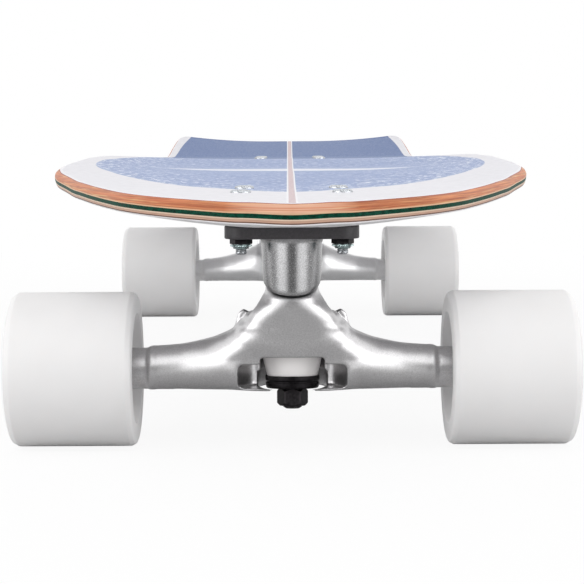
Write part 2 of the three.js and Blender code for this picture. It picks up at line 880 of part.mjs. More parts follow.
const maple = finish(0xd48c5f, 0.5, 0);
const blackPaint = finish(0x3e3a3e, 0.5, 0.5);
const castMetal = finish(0x9a9a9d, 0.35, 0.9);
const zinc = finish(0xb6bcc2, 0.3, 1);
const darkSteel = finish(0x2d2a2c, 0.45, 0.8);
const whiteUrethane = finish(0xf0efef, 0.45, 0);
const bushingUrethane = finish(0xe4e1e0, 0.5, 0);
const blackRubber = finish(0x262628, 0.8, 0);

// Assembly

const board = new THREE.Group();

function place(parent, name, geometry, material, position = [0, 0, 0]) {
  const mesh = new THREE.Mesh(geometry, material);
  mesh.name = name;
  mesh.position.set(...position);
  parent.add(mesh);
}

function placeWheelSide(parent, truck, side) {
  const carrier = new THREE.Group();
  carrier.position.x = side * truck.reach;
  carrier.rotation.z = side > 0 ? 0 : Math.PI;
  parent.add(carrier);
  const label = `${truck.name}_${side * truck.facing > 0 ? 'left' : 'right'}`;
  place(carrier, `${label}_axle`, makeAxle(), zinc);
  place(carrier, `${label}_wheel`, makeTyre(), whiteUrethane);
  place(carrier, `${label}_inner_bearing`, makeBearing(innerBearingStart), zinc);
  place(carrier, `${label}_outer_bearing`, makeBearing(outerBearingEnd - bearingWidth), zinc);
  place(carrier, `${label}_bearing_sleeve`, makeSleeve(), zinc);
  place(carrier, `${label}_axle_nut`, makeAxleNut(), zinc);
}

function placeTruck(truck) {
  const group = new THREE.Group();
  group.position.y = truck.y;
  group.rotation.z = truck.facing > 0 ? 0 : Math.PI;
  board.add(group);
  place(group, `${truck.name}_mounting_plate`, makePlate(), blackPaint);
  place(group, `${truck.name}_pivot_tower`, makeTower(), castMetal);
  place(group, `${truck.name}_pivot_cup`, makePivotCup(), blackRubber);
  place(group, `${truck.name}_hanger`, makeHanger(truck.reach), castMetal);
  place(group, `${truck.name}_kingpin`, makeKingpin(), darkSteel);
  place(group, `${truck.name}_upper_bushing`, makeUpperBushing(), bushingUrethane);
  place(group, `${truck.name}_lower_bushing`, makeLowerBushing(), bushingUrethane);
  place(group, `${truck.name}_cup_washer`, makeCupWasher(), darkSteel);
  place(group, `${truck.name}_kingpin_nut`, makeKingpinNut(), darkSteel);
  for (const side of [1, -1]) {
    placeWheelSide(group, truck, side);
  }
  boltPlaces(truck.y, truck.facing).forEach(([x, y], index) => {
    const number = index + 1;
    place(board, `${truck.name}_bolt_${number}`, makeBolt(truck), zinc, [x, y, 0]);
    place(board, `${truck.name}_lock_nut_${number}`, makeBoltNut(), darkSteel, [x, y, 0]);
  });
  if (truck.riser > 0) {
    place(group, `${truck.name}_riser_pad`, makeRiser(), blackRubber);
  }
}

place(board, 'deck', makeDeck(), maple);
trucks.forEach(placeTruck);

export default board;
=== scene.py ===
import math

import bmesh
import bpy
import numpy as np
from mathutils import Matrix, Vector


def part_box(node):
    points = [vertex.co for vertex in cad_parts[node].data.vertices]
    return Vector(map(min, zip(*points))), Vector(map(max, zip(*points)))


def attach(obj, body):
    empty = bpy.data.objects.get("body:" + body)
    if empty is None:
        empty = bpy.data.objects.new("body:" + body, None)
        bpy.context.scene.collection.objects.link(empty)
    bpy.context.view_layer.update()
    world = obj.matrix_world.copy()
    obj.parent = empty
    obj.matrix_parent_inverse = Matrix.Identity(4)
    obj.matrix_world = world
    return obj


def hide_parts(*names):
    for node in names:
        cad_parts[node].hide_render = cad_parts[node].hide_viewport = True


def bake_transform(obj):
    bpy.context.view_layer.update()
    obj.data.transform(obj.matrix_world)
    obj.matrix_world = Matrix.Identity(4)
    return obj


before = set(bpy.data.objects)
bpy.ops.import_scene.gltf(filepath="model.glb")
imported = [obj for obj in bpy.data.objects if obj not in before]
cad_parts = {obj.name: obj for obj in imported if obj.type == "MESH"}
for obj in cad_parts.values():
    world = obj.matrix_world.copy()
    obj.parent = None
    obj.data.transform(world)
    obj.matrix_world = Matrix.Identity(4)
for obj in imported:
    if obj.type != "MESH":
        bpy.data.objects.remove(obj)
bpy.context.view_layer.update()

# The frame's own axes: nose towards -Y, +Z up, floor at z = 0. Blender's lengths are in metres,
# and sizes and tables here are in millimetres unless they say otherwise.
MM = 0.001


def node_box(name):
    """The lowest and highest corner of a CAD node, in millimetres."""
    low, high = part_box(name)
    return np.array(low) / MM, np.array(high) / MM


# Sizes that the CAD gives
HALF_WIDTH = node_box("deck")[1][0]
PLATE_LOW, PLATE_HIGH = node_box("front_mounting_plate")
WHEEL_LOW, WHEEL_HIGH = node_box("front_left_wheel")
REAR_WHEEL_LOW, REAR_WHEEL_HIGH = node_box("rear_right_wheel")
PLATE_BOTTOM, PLATE_TOP = PLATE_LOW[2], PLATE_HIGH[2]
AXLE_Z = (WHEEL_LOW[2] + WHEEL_HIGH[2]) / 2
FRONT_Y = (WHEEL_LOW[1] + WHEEL_HIGH[1]) / 2
REAR_Y = (REAR_WHEEL_LOW[1] + REAR_WHEEL_HIGH[1]) / 2
# The room for the riser pad, and how much farther out each rear wheel stands than a front one
RISER = 7.5
REAR_REACH = 2.2
# Between faces that touch in the real truck
SLACK = 0.1


# Materials


def linear(colour):
    """Display values from 0 to 255 as a linear colour; anything else stays as it is."""
    if not isinstance(colour, tuple) or len(colour) != 3:
        return colour
    shares = [value / 255 for value in colour]
    return (*(s / 12.92 if s <= 0.04045 else ((s + 0.055) / 1.055) ** 2.4 for s in shares), 1.0)


def grey(level):
    return (level, level, level, 1)


class Nodes:
    """Short calls for making and joining shader nodes in one tree."""

    def __init__(self, tree):
        self.tree = tree

    def add(self, kind, **settings):
        node = self.tree.nodes.new(kind)
        for key, value in settings.items():
            setattr(node, key, value)
        return node

    def join(self, value, socket):
        """Fill a socket from another node's output, or with a plain value."""
        if hasattr(value, "is_output"):
            self.tree.links.new(value, socket)
        else:
            socket.default_value = value

    def feed(self, node, **values):
        """Fill a node's inputs by their names, with _ for a space."""
        for name, value in values.items():
            self.join(value, node.inputs[name.replace("_", " ")])

    def make(self, kind, output, values, **settings):
        node = self.add(kind, **settings)
        self.feed(node, **values)
        return node.outputs[output]

    def axes(self, space="Object"):
        split = self.add("ShaderNodeSeparateXYZ")
        self.feed(split, Vector=self.add("ShaderNodeTexCoord").outputs[space])
        return split.outputs

    def texture(self, kind, output, stretch, **values):
        place = dict(Scale=stretch, Vector=self.add("ShaderNodeTexCoord").outputs["Object"])
        values["Vector"] = self.make("ShaderNodeMapping", "Vector", place)
        return self.make(kind, output, values)

    def noise(self, scale, detail=2.0, roughness=0.5, stretch=(1, 1, 1)):
        return self.texture("ShaderNodeTexNoise", "Fac", stretch,
                            Scale=scale, Detail=detail, Roughness=roughness)

    def specks(self, scale, output="Distance"):
        return self.texture("ShaderNodeTexVoronoi", output, (1, 1, 1), Scale=scale)

    def remap(self, value, low, high, to_low=0.0, to_high=1.0, kind="LINEAR"):
        values = dict(Value=value, From_Min=low, From_Max=high, To_Min=to_low, To_Max=to_high)
        return self.make("ShaderNodeMapRange", "Result", values, interpolation_type=kind)

    def math(self, operation, a, b=0.0):
        node = self.add("ShaderNodeMath", operation=operation)
        self.join(a, node.inputs[0])
        self.join(b, node.inputs[1])
        return node.outputs[0]

    def times(self, a, b):
        return self.math("MULTIPLY", a, b)

    def minus(self, a, b):
        return self.math("SUBTRACT", a, b)

    def mix(self, share, a, b):
        values = dict(Factor=share, A=linear(a), B=linear(b))
        return self.make("ShaderNodeMix", "Result", values, data_type="RGBA")

    def tone(self, texture, dark, light, low=0.3, high=0.7):
        """A colour that goes from dark to light with a texture."""
        return self.mix(self.remap(texture, low, high), dark, light)

    def curve(self, value, points):
        node = self.add("ShaderNodeFloatCurve")
        line = node.mapping.curves[0]
        for spot, point in zip(points, line.points):
            point.location = spot
        for spot in points[len(line.points):]:
            line.points.new(*spot)
        for point in line.points:
            point.handle_type = "AUTO_CLAMPED"
        node.mapping.use_clip = True
        node.mapping.update()
        self.feed(node, Value=value)
        return node.outputs["Value"]

    def bump(self, height, strength, distance):
        values = dict(Strength=strength, Distance=distance, Height=height)
        return self.make("ShaderNodeBump", "Normal", values)


def new_material(name):
    material = bpy.data.materials.new(name)
    material.use_nodes = True
    tree = material.node_tree
    return material, Nodes(tree), tree.nodes["Principled BSDF"]


def surface(name, dark, light, roughness, grain, relief, clouds=None, figure=None,
            spread=(0.3, 0.7), span=(0.3, 0.7), **sockets):
    """A material whose colour, roughness and relief follow one fine noise.

    With clouds, a coarser noise, the colour follows that, and figure works it further. relief is
    a bump's strength and distance; spread and span say between which values of the noise colour
    and roughness change.
    """
    material, n, shader = new_material(name)
    fine = n.noise(*grain)
    colour = n.tone(n.noise(*clouds) if clouds else fine, dark, light, *spread)
    n.feed(shader, Base_Color=figure(n, colour) if figure else colour,
           Roughness=n.remap(fine, *span, *roughness), Normal=n.bump(fine, *relief), **sockets)
    return material


def cast_alloy(name, dark, light, roughness=(0.18, 0.3)):
    def blotched(n, shade):
        return n.mix(n.remap(n.noise(60, 2), 0.35, 0.65, 0, 0.35), shade, dark)

    return surface(name, dark, light, roughness, (1900, 3, 0.62), (0.14, 0.0002),
                   figure=blotched, span=(0.25, 0.75), Metallic=1.0)


def plain_metal(name, dark, light, roughness, scale=900):
    return surface(name, dark, light, roughness, (scale, 3, 0.55), (0.12, 0.0001), Metallic=1.0)


def urethane(name, dark, light, roughness, depth):
    return surface(name, dark, light, roughness, (700, 3, 0.6), (0.06, 0.0001), (24, 2),
                   Subsurface_Weight=depth, Subsurface_Radius=(0.004, 0.0036, 0.0034),
                   Subsurface_Scale=0.4)


def lacquer(name, dark, light):
    return surface(name, dark, light, (0.28, 0.4), (300, 3, 0.6), (0.05, 0.0002))


def painted_plate():
    """Charcoal paint, worn through to the metal in small spots."""
    material, n, shader = new_material("plate_paint")
    grain = n.noise(1500, 3, 0.6)
    worn = n.remap(n.noise(240, 4, 0.7), 0.69, 0.72)
    paint = n.tone(grain, (50, 48, 51), (66, 63, 66))
    n.feed(shader, Base_Color=n.mix(worn, paint, (150, 148, 150)), Metallic=worn,
           Roughness=n.remap(grain, 0.3, 0.7, 0.38, 0.52), Normal=n.bump(grain, 0.25, 0.0002))
    return material


CAST = cast_alloy("cast_alloy", (146, 146, 147), (184, 184, 185))
CAST_SATIN = cast_alloy("cast_alloy_satin", (188, 187, 188), (218, 217, 218), (0.28, 0.38))
# A paler copy of the same alloy for the rear hanger: painted light, standing in for the brighter
# light that falls on the rear truck
CAST_PAINTED_LIGHT = cast_alloy("cast_alloy_painted_light", (228, 228, 229), (246, 246, 247), (0.36, 0.48))
PLATE_PAINT = painted_plate()
ZINC = plain_metal("zinc_steel", (168, 174, 176), (204, 210, 212), (0.2, 0.32))
# The bolts' zinc has dark and pale specks scattered at random
BOLT_ZINC = plain_metal("zinc_speckled", (84, 86, 90), (222, 226, 230), (0.24, 0.4), 2400)
ZINC_DARK = plain_metal("zinc_toothed", (92, 108, 108), (176, 190, 190), (0.2, 0.3), 1600)
DARK_STEEL = plain_metal("dark_steel", (40, 38, 40), (58, 55, 57), (0.34, 0.48))
WASHER_BLACK = plain_metal("black_oxide", (26, 25, 26), (40, 38, 40), (0.3, 0.42))
BEARING_STEEL = plain_metal("bearing_steel", (170, 170, 172), (200, 200, 202), (0.18, 0.3))
WHEEL_WHITE = urethane("wheel_urethane", (238, 237, 237), (244, 243, 243), (0.42, 0.52), 0.15)
BUSHING_WHITE = urethane("bushing_urethane", (246, 243, 242), (252, 249, 248), (0.3, 0.4), 0.0)
BLACK_RUBBER = surface("black_rubber", (30, 30, 32), (44, 44, 46), (0.6, 0.8),
                       (1200, 3, 0.6), (0.2, 0.0002))


# Meshes and pieces


def clean_mesh(mesh):
    """Join points that coincide, and turn the faces outwards."""
    work = bmesh.new()
    work.from_mesh(mesh)
    bmesh.ops.remove_doubles(work, verts=work.verts, dist=1e-6)
    bmesh.ops.dissolve_degenerate(work, edges=work.edges, dist=1e-7)
    bmesh.ops.recalc_face_normals(work, faces=work.faces)
    if work.calc_volume(signed=True) < 0:
        bmesh.ops.reverse_faces(work, faces=work.faces)
    work.to_mesh(mesh)
    work.free()


def make_mesh(name, points_mm, faces, materials, face_materials=None, smooth_angle=35.0):
    mesh = bpy.data.meshes.new(name)
    points = [tuple(p) for p in np.asarray(points_mm, float) * MM]
    mesh.from_pydata(points, [], [tuple(f) for f in faces])
    for material in materials:
        mesh.materials.append(material)
    if face_materials is not None:
        mesh.polygons.foreach_set("material_index", np.asarray(face_materials, np.int32))
    mesh.validate(clean_customdata=False)
    clean_mesh(mesh)
    mesh.shade_smooth()
    mesh.set_sharp_from_angle(angle=math.radians(smooth_angle))
    return mesh


def new_object(name, data):
    made = bpy.data.objects.new(name, data)
    bpy.context.scene.collection.objects.link(made)
    return made


def add_piece(name, mesh, body, replaced, place=Matrix.Identity(4)):
    piece = new_object(name, mesh)
    piece.matrix_world = place
    if body:
        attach(piece, body)
    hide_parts(*replaced)
    return piece


def moved(x, y, z):
    """A placing by millimetres."""
    return Matrix.Translation((x * MM, y * MM, z * MM))


# Where each truck's own frame lies: its outer end points to its own -Y
TRUCKS = {
    "front": moved(0, FRONT_Y, 0),
    "rear": moved(0, REAR_Y, 0) @ Matrix.Rotation(math.pi, 4, "Z"),
}


def aligned(direction, origin_mm):
    """A placing that lays +Z along a direction, from an origin in millimetres."""
    turn = Vector((0, 0, 1)).rotation_difference(Vector(direction)).to_matrix().to_4x4()
    return Matrix.Translation(Vector(origin_mm) * MM) @ turn


def around(sides, offset=0.0):
    """The angles of a ring's points."""
    return (np.arange(sides) + offset) * 2 * math.pi / sides


def ring_mesh(name, table, angles, materials, closed=True, which=None, smooth_angle=35.0):
    """A mesh of rings about Z, from a radius and a height each: one number, or one per angle.
    Closed, it goes from the last ring back to the first; if not, it starts and ends on the axis."""
    sides, rings = len(angles), len(table)
    points, faces = [], []
    for radius, height in table:
        across = [radius * np.cos(angles), radius * np.sin(angles)]
        points.append(np.column_stack([*across, np.full(sides, height)]))
    for r in range(rings if closed else rings - 1):
        a, b = r * sides, (r + 1) % rings * sides
        for i in range(sides):
            j = (i + 1) % sides
            faces.append((a + i, a + j, b + j, b + i))
    return make_mesh(name, np.concatenate(points), faces, materials, which, smooth_angle)


def rounded(profile, radius, steps=4):
    """The profile with its inner corners rounded: radius is one number, or one per point."""
    profile = [np.array(p, float) for p in profile]
    radii = np.broadcast_to(radius, len(profile))
    result = []
    for i, point in enumerate(profile):
        if i in (0, len(profile) - 1) or radii[i] <= 0:
            result.append(point)
            continue
        before, after = profile[i - 1] - point, profile[i + 1] - point
        len_before, len_after = np.linalg.norm(before), np.linalg.norm(after)
        before /= len_before
        after /= len_after
        angle = math.acos(float(np.clip(before @ after, -1, 1)))
        if angle > math.radians(176):
            result.append(point)
            continue
        reach = min(radii[i] / math.tan(angle / 2), 0.48 * len_before, 0.48 * len_after)
        start, end = point + before * reach, point + after * reach
        for t in np.arange(steps + 1) / steps:
            result.append((1 - t) ** 2 * start + 2 * t * (1 - t) * point + t ** 2 * end)
    return np.array(result)


def threaded_mesh(name, before, thread, after, sides, material):
    """A turned shank with a screw thread between two plain profiles."""
    radius, depth, pitch, low, high = thread
    angles = around(sides)
    rows = max(4, int(round((high - low) / pitch * 5)))
    table = list(before)
    for i in range(rows + 1):
        height = low + (high - low) * i / rows
        phase = (height / pitch - angles / (2 * math.pi)) % 1.0
        fade = min(1.0, (height - low) / pitch, (high - height) / pitch)
        table.append((radius - depth * np.abs(2 * phase - 1) * max(0.0, fade), height))
    table += after
    return ring_mesh(name, table, angles, [material], False, None, 50)


def hexagon(angles, flats):
    """The radius of a hexagon at each angle."""
    sector = math.pi / 3
    return (flats / 2) / np.cos((angles % sector) - sector / 2)


# Fields on a grid and their skin, for castings whose forms flow into each other


def unit(value):
    return np.clip(value, 0, 1)


def soft_min(a, b, blend):
    share = unit(0.5 + 0.5 * (b - a) / blend)
    return b * (1 - share) + a * share - blend * share * (1 - share)


def soft_max(a, b, blend):
    return -soft_min(-a, -b, blend)


def carved(body, hole, blend):
    return soft_max(body, -hole, blend)


def grid(low, high, step):
    axes = [np.arange(a, b + step, step) for a, b in zip(low, high)]
    return np.meshgrid(*axes, indexing="ij")


def field_skin(field, origin, step):
    """Points and quads of the surface where the field is zero, inside being below zero."""
    shape = np.array(field.shape) - 1
    total, count = np.zeros((*shape, 3)), np.zeros(shape)
    crossings = []
    for axis in range(3):
        low, high = (np.take(field, np.arange(shape[axis]) + k, axis) for k in (0, 1))
        crossed = (low < 0) != (high < 0)
        along = np.where(crossed, low / np.where(crossed, low - high, 1), 0)
        crossings.append((crossed, low < 0))
        b, c = (a for a in range(3) if a != axis)
        for p, q in ((0, 0), (0, 1), (1, 0), (1, 1)):
            cut = [slice(None)] * 3
            cut[b], cut[c] = slice(p, p + shape[b]), slice(q, q + shape[c])
            cut = tuple(cut)
            total[..., axis] += along[cut] * crossed[cut]
            total[..., b] += p * crossed[cut]
            total[..., c] += q * crossed[cut]
            count += crossed[cut]
    used = count > 0
    index = np.full(shape, -1)
    index[used] = np.arange(used.sum())
    points = np.array(origin) + step * (np.argwhere(used) + total[used] / count[used][:, None])
    faces = []
    for axis in range(3):
        crossed, inside = crossings[axis]
        b, c = (axis + 1) % 3, (axis + 2) % 3
        spots = np.argwhere(crossed)
        within = (spots[:, b] > 0) & (spots[:, c] > 0)
        within &= (spots[:, b] < shape[b]) & (spots[:, c] < shape[c])
        spots = spots[within]
        corners = []
        for p, q in ((1, 1), (0, 1), (0, 0), (1, 0)):
            cell = spots.copy()
            cell[:, b] -= p
            cell[:, c] -= q
            corners.append(index[tuple(cell.T)])
        quads = np.stack(corners, 1)
        flip = ~inside[tuple(spots.T)]
        quads[flip] = quads[flip][:, ::-1]
        faces.append(quads)
    return points, np.concatenate(faces)


def mirrored_half(points, quads):
    """The whole skin from the half at x >= 0."""
    quads = quads[points[quads][:, :, 0].mean(1) > 0]
    used, quads = np.unique(quads, return_inverse=True)
    quads = quads.reshape(-1, 4)
    points = points[used].copy()
    edges = np.sort(np.concatenate([quads[:, [k, (k + 1) % 4]] for k in range(4)]), 1)
    edges, uses = np.unique(edges, axis=0, return_counts=True)
    points[edges[uses == 1].ravel(), 0] = 0
    other = points * np.array([-1, 1, 1])
    return np.concatenate([points, other]), np.concatenate([quads, quads[:, ::-1] + len(points)])


def true_distance(field, step):
    """The field scaled so that it grows by one a millimetre near its surface."""
    slopes = np.gradient(field, step)
    return field / np.maximum(np.sqrt(sum(s * s for s in slopes)), 0.35)


def monotone(x, xs, ys):
    """A smooth curve through points that never overshoots them."""
    xs, ys = np.asarray(xs, float), np.asarray(ys, float)
    gaps = np.diff(xs)
    slopes = np.diff(ys) / gaps
    tangents = np.zeros(len(xs))
    for i in range(1, len(xs) - 1):
        if slopes[i - 1] * slopes[i] > 0:
            w1 = 2 * gaps[i] + gaps[i - 1]
            w2 = gaps[i] + 2 * gaps[i - 1]
            tangents[i] = (w1 + w2) / (w1 / slopes[i - 1] + w2 / slopes[i])
    tangents[0], tangents[-1] = slopes[0], slopes[-1]
    x = np.asarray(x, float)
    i = np.clip(np.searchsorted(xs, x) - 1, 0, len(xs) - 2)
    t = unit((x - xs[i]) / gaps[i])
    return (
        (2 * t ** 3 - 3 * t ** 2 + 1) * ys[i]
        + (t ** 3 - 2 * t ** 2 + t) * gaps[i] * tangents[i]
        + (-2 * t ** 3 + 3 * t ** 2) * ys[i + 1]
        + (t ** 3 - t ** 2) * gaps[i] * tangents[i + 1]
    )


def past_sides(*gaps):
    """Distance to a form from how far each pair of its sides is passed."""
    outside = np.sqrt(sum(np.maximum(gap, 0) ** 2 for gap in gaps))
    nearest = gaps[0]
    for gap in gaps[1:]:
        nearest = np.maximum(nearest, gap)
    return outside + np.minimum(nearest, 0)


def cylinder_field(height, off, radius, low, high):
    return past_sides(off - radius, np.maximum(low - height, height - high))


def box_field(x, y, z, low, high, corner=0.0):
    gaps = []
    for value, a, b in zip((x, y, z), low, high):
        gaps.append(np.abs(value - (a + b) / 2) - (b - a) / 2 + corner)
    return past_sides(*gaps) - corner


def along_and_off(x, y, z, origin, axis):
    """Height along an axis and distance from it."""
    rel = (x - origin[0], y - origin[1], z - origin[2])
    height = rel[0] * axis[0] + rel[1] * axis[1] + rel[2] * axis[2]
    square = rel[0] ** 2 + rel[1] ** 2 + rel[2] ** 2 - height ** 2
    return height, np.sqrt(np.maximum(square, 0))


# Trucks. The steering axis runs from the mouth of the tower to the ring round the kingpin, and the
# kingpin stands a little inclined in the ring
STEER = math.radians(24)
PIN = math.radians(5)
STEER_AXIS = np.array([0, -math.sin(STEER), math.cos(STEER)])
PIN_AXIS = np.array([0, math.sin(PIN), math.cos(PIN)])
MOUTH = np.array([0, -12.5, 70.0])
RING = np.array([0, -12.5 + (70 - 42.5) * math.tan(STEER), 42.5])
TOWER_Y = -13.0

# Sections of a hanger's arm: distance from the middle, bottom, top, front, rear, corner
ARM = np.array([
    [0, 24.1, 50.5, 17, 16.5, 6],
    [14, 24.1, 50.5, 17, 16.5, 7],
    [20.4, 24.1, 50.3, 16.9, 16.4, 9],
    [24.4, 24.1, 49.4, 16.4, 15.9, 10.5],
    [28.2, 23.9, 47.8, 15.5, 15, 11.6],
    [33.6, 23.7, 45.7, 13.6, 13.2, 11],
    [39, 23.6, 44.4, 11.9, 11.6, 10.2],
    [47.1, 23.6, 43.0, 10.1, 10, 9.6],
    [59.5, 23.7, 42.1, 9.2, 9.2, 9.2],
])
# Radius of the hanger's neck by height
FLARE_Z = [24, 38, 44, 48.2, 51, 54.2, 57.2, 59.4, 61, 62.6, 64.4, 66.2, 68, 80]
FLARE_R = [17, 18, 20.5, 22.6, 22.6, 20.9, 19.0, 17.1, 15.6, 14.0, 12.5, 11.3, 10.9, 10.9]
HANGER_LOW, HANGER_HIGH = (-0.6, -29, 20.5), (79, 22, 84)
HANGER_STEP, HANGER_QUICK_STEP = 0.6, 1.3
# The front face leans back from this height up; the flat back; the back edge of the neck's top
LEAN, LEAN_Z = 0.28, 38
BACK_Y = 16.5
NECK_Y = -13.6
AXLE_BORE = 4.3
# Half widths of the bushing's pocket and of the windows beside it
POCKET, WINDOW = 15.2, 22.6


def arm_field(x, y, z, step):
    """An arm with its round end, x being the distance from the middle."""
    bottom, top, front, rear, corner = (monotone(x, ARM[:, 0], ARM[:, k]) for k in range(1, 6))
    lean = LEAN * unit((36 - x) / 16)
    leaned = y + lean * np.maximum(0, z - LEAN_Z)
    half_y, half_z = (front + rear) / 2, (top - bottom) / 2
    corner = np.minimum(corner, np.minimum(half_y, half_z))
    past_y = np.abs(leaned - (rear - front) / 2) - half_y + corner
    past_z = np.abs(z - (top + bottom) / 2) - half_z + corner
    arm = np.maximum(true_distance(past_sides(past_y, past_z) - corner, step), x - 59.2)
    off_axle = np.sqrt(y ** 2 + (z - AXLE_Z) ** 2)
    boss = cylinder_field(x, off_axle, 8.9 - 2.5 * unit((x - 73.3) / 2.6), 50, 75.9)
    collar = cylinder_field(x, off_axle, 9.35, 57.6, 60.4)
    return soft_min(soft_min(arm, boss, 1.2), collar, 1.0)


def neck_field(x, y, z, step):
    """The neck, which flares from the collar under the tower into the arms."""
    axis_y = MOUTH[1] + (MOUTH[2] - z) * math.tan(STEER)
    off = np.sqrt(x ** 2 + ((y - axis_y) * math.cos(STEER)) ** 2)
    neck = true_distance(off - monotone(z, FLARE_Z, FLARE_R), step)
    neck = np.maximum(neck, 24.1 - z)
    face = (-y - 17 - LEAN * np.maximum(0, z - LEAN_Z)) * 0.97
    return np.maximum(soft_max(neck, face, 4.0), y - BACK_Y)


def ear_field(x, y, z):
    """An ear on the rear wall, with its slanting edges."""
    ear = box_field(x, y, z, (17.0, 1.75, 44), (25.0, 4.6, 57.6), 0.6)
    edges = ((22.8, 55.6, 0.961, 0.278), (17, 55.6, -0.447, 0.894), (20.6, 57.4, 0.634, 0.774))
    for edge_x, edge_z, slope_x, slope_z in edges:
        ear = soft_max(ear, (x - edge_x) * slope_x + (z - edge_z) * slope_z, 0.5)
    return ear


def side_trimmed(body, y, z, above_mouth):
    """The body cut to the outline that it has from the side."""
    body = soft_max(body, (y - BACK_Y) * 0.696 + (z - 47.5) * 0.718, 2.0)
    body = soft_max(body, y - BACK_Y, 1.5)
    body = soft_max(body, 23.7 - z, 1.6)
    behind_neck = (z - 60) * 0.68 - (y - NECK_Y) * 0.733
    body = carved(body, np.maximum(np.maximum(57.4 - z, NECK_Y - y), behind_neck), 2.0)
    body = soft_max(body, above_mouth + 0.9, 0.8)
    return soft_max(body, y + 6.8 - np.clip((67.4 - z) * 4, 0, 60), 1.2)


def hanger_skin():
    step = HANGER_STEP
    x, y, z = grid(HANGER_LOW, HANGER_HIGH, step)
    ax = np.abs(x)
    above_mouth, off_steer = along_and_off(x, y, z, MOUTH, STEER_AXIS)
    pin_h, pin_off = along_and_off(x, y, z, RING, PIN_AXIS)
    body = soft_min(arm_field(ax, y, z, step), neck_field(ax, y, z, step), 5.0)
    body = side_trimmed(body, y, z, above_mouth)
    body = soft_min(body, ear_field(ax, y, z), 0.9)
    # The upper bushing's pocket, open to the rear above the ring; the neck's front wall stays
    pocket = cylinder_field(pin_h, pin_off, POCKET, 4.6, 31)
    slot = box_field(x, y, z, (-POCKET, RING[1], 47.1), (POCKET, 22, 70), 2)
    wall = box_field(x, y, z, (-60, -60, 60), (60, -4.8, 99))
    body = carved(body, np.maximum(soft_min(pocket, slot, 1.0), -wall), 1.4)
    # The windows beside the lower bushing, and the bushing's seat
    window = box_field(x, y, z, (-WINDOW, -40, 25.8), (WINDOW, 11, 36.2), 2.4)
    window = soft_max(window, y + 3 + 9 * unit((ax - 15) / 7.6) ** 2, 1.0)
    body = carved(body, window, 0.7)
    seat = cylinder_field(pin_h, pin_off, 13.2, -16, -2.2)
    seat_slot = box_field(x, y, z, (-13.4, -40, 25.5), (13.4, RING[1], 39.2), 1.6)
    body = carved(body, soft_min(seat, seat_slot, 0.6), 0.6)
    # The notch that the cup washer swings in, and its mouth
    notch = np.maximum(np.sqrt(x ** 2 + (y + 1.3) ** 2) - 14.5, z - 31.8)
    mouth = box_field(x, y, z, (-7.5, -40, 10), (7.5, 0, 30), 1.0)
    body = carved(body, soft_min(notch, mouth, 0.8), 0.5)
    # The holes for the kingpin and the axle
    pin_hole = np.maximum(pin_off - 5.7, np.maximum(-6 - pin_h, pin_h - 6))
    axle_hole = np.maximum(np.sqrt(y ** 2 + (z - AXLE_Z) ** 2) - AXLE_BORE, 40 - ax)
    body = np.maximum(np.maximum(body, -pin_hole), -axle_hole)
    # The stem and the ball that turn in the tower
    stem = cylinder_field(above_mouth, off_steer, 4.2, -4, 7)
    ball = np.sqrt((above_mouth - 7) ** 2 + off_steer ** 2) - 5.2
    return field_skin(np.minimum(body, np.minimum(stem, ball)), HANGER_LOW, step)


def rear_shape(points):
    """The hanger's points for the rear truck: longer arms, and raised tops and underside."""
    points = points.copy()
    x, z = points[:, 0], points[:, 2]
    share = unit((np.abs(x) - 30) / 14)
    x += np.sign(x) * REAR_REACH * share * share * (3 - 2 * share)
    z += 2.0 * unit(1 - (z - 24) / 14)
    rise = np.interp(np.abs(x), [16, 24, 28, 34, 39, 47, 58], [0, 2.2, 2.5, 2.1, 1.4, 0.7, 0])
    z += rise * unit((z - 34) / 9) * unit((60 - z) / 6)
    return points


def make_hangers():
    front, quads = mirrored_half(*hanger_skin())
    # The rear hanger is the same casting as the front one, in the paler copy of the alloy: painted
    # light
    forms = (("front", front, CAST_SATIN), ("rear", rear_shape(front), CAST_PAINTED_LIGHT))
    for truck, points, alloy in forms:
        name, body = f"{truck}_hanger_casting", f"{truck}_hanger_body"
        mesh = make_mesh(name, points, quads, [alloy], None, 180)
        add_piece(name, mesh, body, [f"{truck}_hanger"], TRUCKS[truck])


TOWER_LOW, TOWER_HIGH = (-0.6, -30, 60.0), (16, 20, 92)
TOWER_STEP, TOWER_QUICK_STEP = 0.6, 1.0
PIN_BOSS = 9.6


def tower_skin():
    step = TOWER_STEP
    x, y, z = grid(TOWER_LOW, TOWER_HIGH, step)
    top = PLATE_BOTTOM - SLACK
    above_mouth, off_steer = along_and_off(x, y, z, MOUTH, STEER_AXIS)
    pin_h, pin_off = along_and_off(x, y, z, RING, PIN_AXIS)
    # The tapered barrel joins the kingpin's boss, and both widen where they meet the plate
    radius = 11.6 + 1.1 * unit((z - 62) / (top - 62))
    side = np.sqrt(x ** 2 + (y - TOWER_Y) ** 2) - radius
    boss = cylinder_field(pin_h, pin_off, PIN_BOSS, 31.3, 70)
    body = soft_min(soft_max(side, -above_mouth, 2.2), boss, 2.5)
    widening = 1.2 * unit((z - (top - 2.0)) / 2.0) ** 2
    skirt = soft_min(side, pin_off - PIN_BOSS, 2.5) - widening
    body = np.minimum(body, np.maximum(skirt, np.maximum(top - 2.4 - z, z - top)))
    body = np.maximum(body, z - top)
    # The pivot cup's hole and the kingpin's
    body = np.maximum(body, -cylinder_field(above_mouth, off_steer, 7.0, -3, 12.5))
    body = np.maximum(body, -np.maximum(pin_off - 4.2, 25 - pin_h))
    return field_skin(body, TOWER_LOW, step)


def make_towers():
    points, quads = mirrored_half(*tower_skin())
    mesh = make_mesh("pivot_tower_casting", points, quads, [CAST], None, 60)
    for truck, place in TRUCKS.items():
        replaced = [f"{truck}_pivot_tower"]
        add_piece(f"{truck}_tower_casting", mesh, "board", replaced, place)


